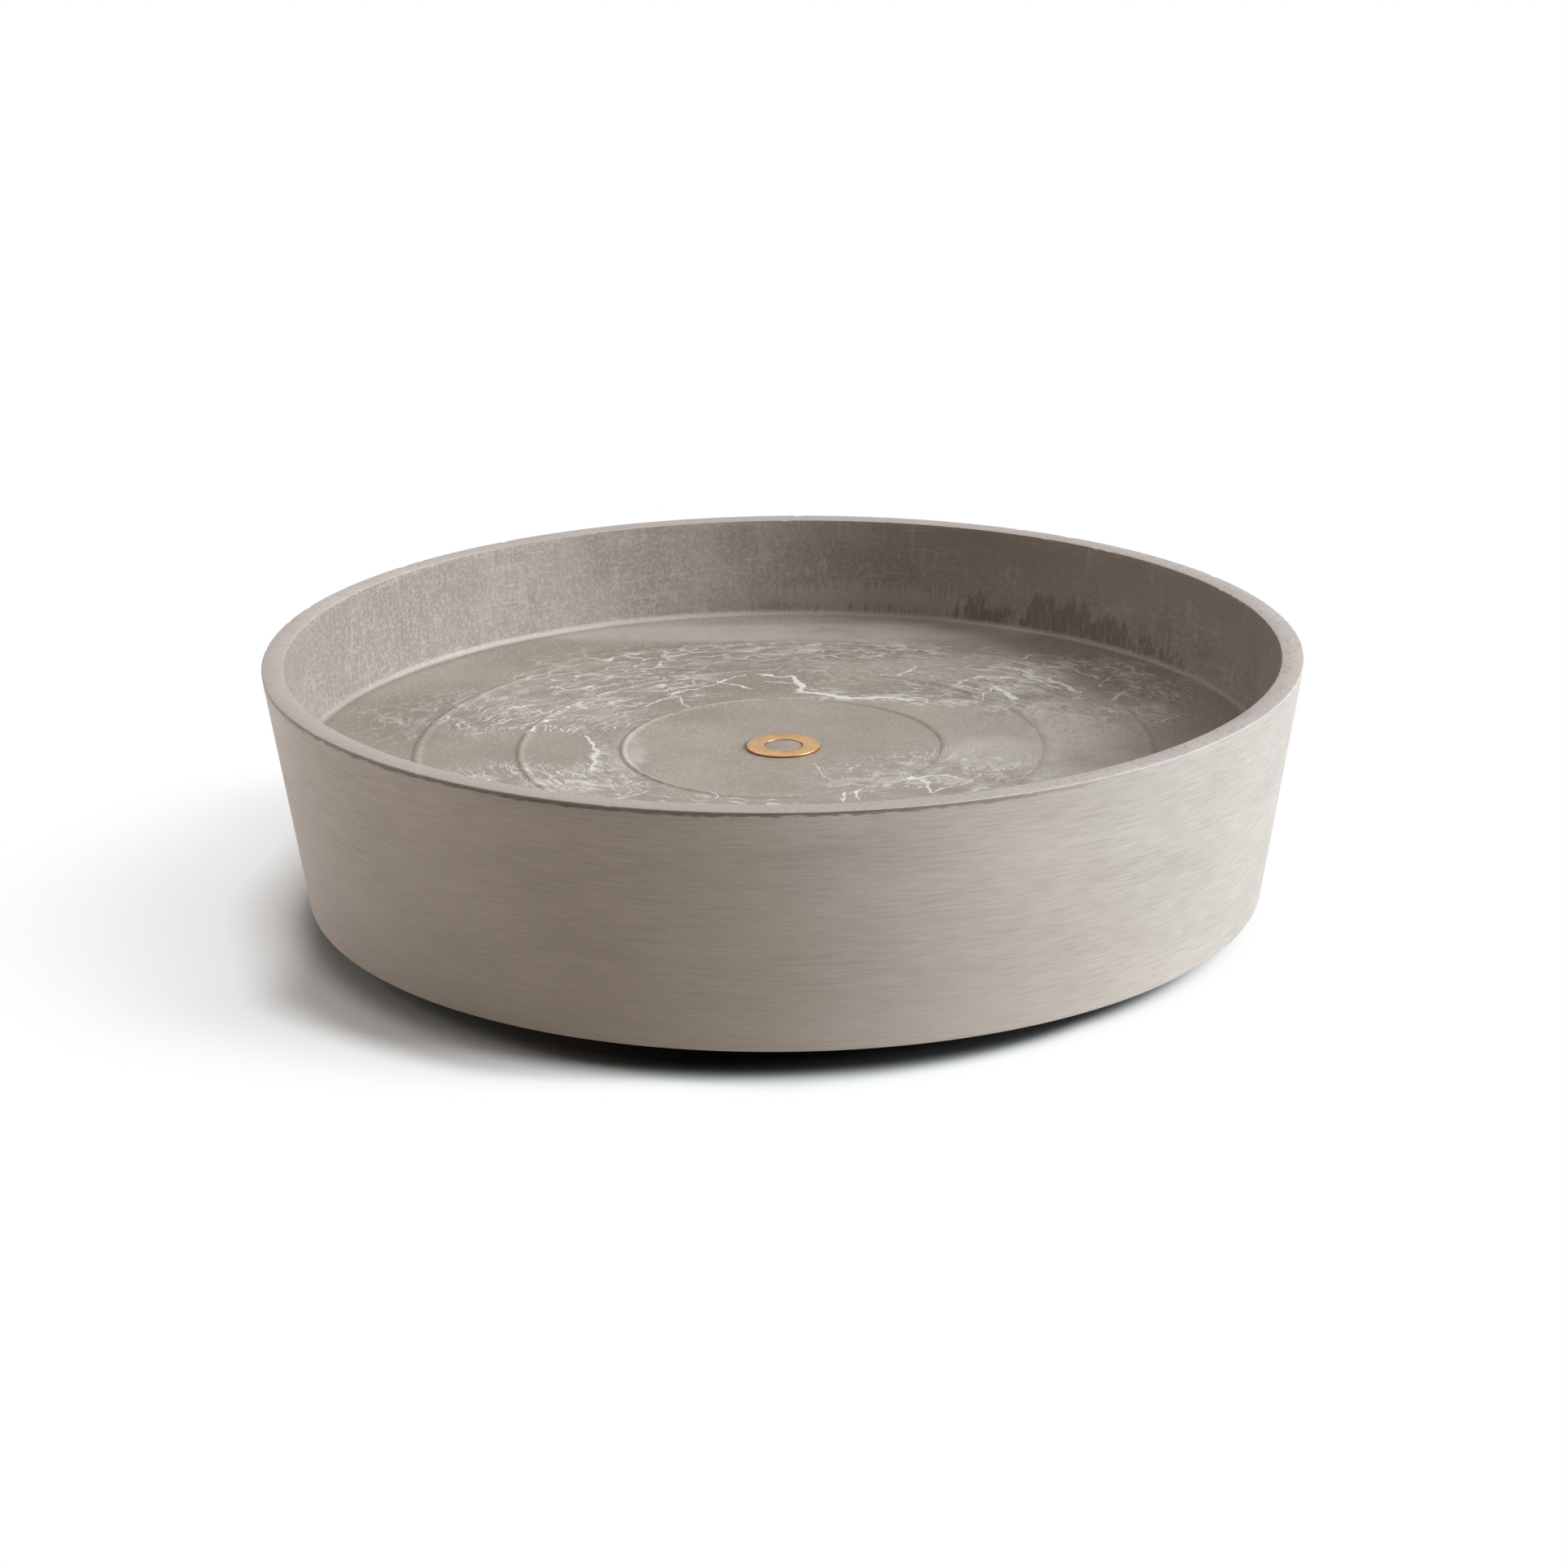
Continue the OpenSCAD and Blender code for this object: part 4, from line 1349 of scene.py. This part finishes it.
# Axle bolts
# Four bright steel hexagon bolts through the cheeks of the forks and the sleeves of the hubs, threaded at the
# end where the lock nut sits.
axle_flats = 10 * mm
axle_head_h = 3.2 * mm
axle_nut_h = 5 * mm
axle_tail = 1.2 * mm
axle_end = cheek_out + axle_nut_h + axle_tail
shank_outline = [
    (0, axle_end),
    (axle_r, axle_end),
    *thread(axle_r, axle_r - 0.4 * mm, cheek_out + 0.2 * mm, axle_end - 0.4 * mm, 0.8 * mm),
    (axle_r, -cheek_out - 0.5 * axle_head_h),
    (0, -cheek_out - 0.5 * axle_head_h),
]
shank = draw("shank", shank_outline)
soften(shank, shank_outline[1], 0.35 * mm, 1)
turn(shank, 48)
bolt = hexagon("bolt", axle_flats, -cheek_out - axle_head_h, -cheek_out)
break_edges(bolt, 0.1 * mm)
merge(bolt, shank, "UNION")
bpy.ops.object.shade_smooth_by_angle(angle=sharp_crease)
bolt.data.transform(axle_turn)
dress(bolt, bright)
for n, copy in set_out(bolt, "hexagon_axle_bolt", trailing):
    fit(copy, f"axle_bolt_{n}", f"swivel_{n}")


# Axle nuts
# Four bright steel lock nuts, turned from hexagon bar. They hold the axle bolts against the outer cheeks of
# the forks, short of binding the wheels.
lock_nut = hexagon("lock_nut", axle_flats, cheek_out, cheek_out + axle_nut_h)
bore(lock_nut, axle_r + seat_clear, cheek_out, cheek_out + axle_nut_h, 48)
break_edges(lock_nut, 0.1 * mm)
lock_nut.data.transform(axle_turn)
dress(lock_nut, bright)
for n, copy in set_out(lock_nut, "axle_lock_nut", trailing):
    fit(copy, f"axle_nut_{n}", f"swivel_{n}")


# Floor, light and camera
# A white sweep that fades to plain white away from the object, one broad lamp from the right, a weak one
# overhead, a low strip on the left, and the photograph's viewing angle.
warm = (1, 0.965, 0.92)
cool = (0.877, 0.956, 1)
gap_middle = (-0.0105, -0.008, 0)


def looked_at(tree):
    """1 for what the camera sees, straight, mirrored or through glass, and 0 for the light's own bounces."""
    rays = put(tree, "ShaderNodeLightPath", {}).outputs
    seen = calc("MAXIMUM", Reading(tree, rays["Is Camera Ray"]), rays["Is Glossy Ray"])
    return calc("MAXIMUM", seen, rays["Is Transmission Ray"])


def grey(level):
    """A colour without a tint."""
    return (level, level, level, 1)


bpy.ops.object.select_all(action="DESELECT")
bpy.ops.mesh.primitive_plane_add(size=40)
ground = bpy.context.object
ground.name = "studio_floor"
sweep = bpy.data.materials.new("white_sweep")
sweep.use_nodes = True
tree = sweep.node_tree
tree.nodes.remove(tree.nodes["Principled BSDF"])
seen = looked_at(tree)
reach = radius_on(tree)
side_wise, _, _ = split(tree, place_on(tree))
leftward = side_wise * -1.0 / reach
trailing_left = calc("POWER", calc("MAXIMUM", leftward, 0.0), 3.0)
# Painted shadow: the floor under the skirt is painted dark, lighter towards the left, for the shadow in the
# gap beneath the object.
open_floor = rise(measure(tree, "DISTANCE", place_on(tree), gap_middle), 0.168, 0.187)
painted_gap_shadow = layer(grey(0.09), grey(0.4), rise(leftward, 0.05, 0.65))
paper_white = layer(painted_gap_shadow, grey(0.92), open_floor)
paper = put(tree, "ShaderNodeBsdfDiffuse", {"Color": paper_white}).outputs[0]
dim_paper = put(tree, "ShaderNodeBsdfDiffuse", {"Color": (0.8, 0.67, 0.55, 1)}).outputs[0]
white = put(tree, "ShaderNodeEmission", {"Color": grey(1), "Strength": 1.0}).outputs[0]
# Painted shadow: away from the object the floor glows plain white to the camera, and the glow starts later
# and fades longer on the left, which paints the reach of the shadow.
feeds = {"Value": leftward, "From Min": -0.6, "From Max": 0.0, "To Min": 0.17, "To Max": 0.188}
start = Reading(tree, put(tree, "ShaderNodeMapRange", feeds).outputs["Result"])
start = start + rise(leftward, 0.2, 0.6, 0.013)
start = start - rise(leftward, 0.85, 0.99, 0.019)
near_end = start + (trailing_left * 0.03 + 0.012)
far_end = start + (trailing_left * 0.14 + 0.017)
far = rise(reach, start, near_end, 0.62) + rise(reach, start + 0.003, far_end, 0.38)
shown = put(tree, "ShaderNodeMixShader", {0: far, 1: paper, 2: white}).outputs[0]
mixed = put(tree, "ShaderNodeMixShader", {0: seen, 1: dim_paper, 2: shown}).outputs[0]
tree.links.new(mixed, tree.nodes["Material Output"].inputs["Surface"])
ground.data.materials.append(sweep)


def lamp(name, around, above, strength, spread, colour):
    """A far lamp, around degrees to the right of the camera and above degrees over the floor."""
    light = bpy.data.lights.new(name, "SUN")
    light.energy = strength
    light.angle = math.radians(spread)
    light.color = colour
    stand = bpy.data.objects.new(name, light)
    a, e = math.radians(around), math.radians(above)
    toward = Vector((math.sin(a) * math.cos(e), -math.cos(a) * math.cos(e), math.sin(e)))
    stand.rotation_mode = "QUATERNION"
    stand.rotation_quaternion = toward.to_track_quat("Z", "Y")
    bpy.context.scene.collection.objects.link(stand)


lamp("key_light", 80, 25, 5.17, 32, cool)
lamp("top_light", 0, 90, 0.56, 100, warm)
strip = bpy.data.lights.new("low_strip", "AREA")
strip.shape = "RECTANGLE"
strip.size = 1.2
strip.size_y = 0.08
strip.energy = 6.7
strip.color = warm
strip_stand = bpy.data.objects.new("low_strip", strip)
strip_place = Matrix.Translation((-0.9, 0.15, 0.045))
strip_stand.matrix_world = strip_place @ Matrix.Rotation(math.radians(-90), 4, "Y")
strip_stand.visible_camera = False
bpy.context.scene.collection.objects.link(strip_stand)
world = bpy.data.worlds.new("white_room")
world.use_nodes = True
tree = world.node_tree
seen = looked_at(tree)
level = put(tree, "ShaderNodeMapRange", {"Value": seen, "To Min": 0.01, "To Max": 1.0}).outputs["Result"]
tree.links.new(level, tree.nodes["Background"].inputs["Strength"])
tint = layer((1, 0.9, 0.8, 1), grey(1), seen)
tree.links.new(tint, tree.nodes["Background"].inputs["Color"])
bpy.context.scene.world = world
bpy.context.scene.view_settings.view_transform = "Standard"

camera_reach = 1.5524
camera_rise = math.radians(16.39)
camera_dip = math.radians(18.36)
camera_roll = math.radians(-0.661)
camera_data = bpy.data.cameras.new("camera")
camera_data.lens = 92.24
camera_data.sensor_width = 36
camera = bpy.data.objects.new("camera", camera_data)
stand = Vector((0, -camera_reach * math.cos(camera_rise), rim_z + camera_reach * math.sin(camera_rise)))
tilt = Matrix.Rotation(math.radians(90) - camera_dip, 4, "X")
camera.matrix_world = Matrix.Translation(stand) @ tilt @ Matrix.Rotation(camera_roll, 4, "Z")
bpy.context.scene.collection.objects.link(camera)
bpy.context.scene.camera = camera
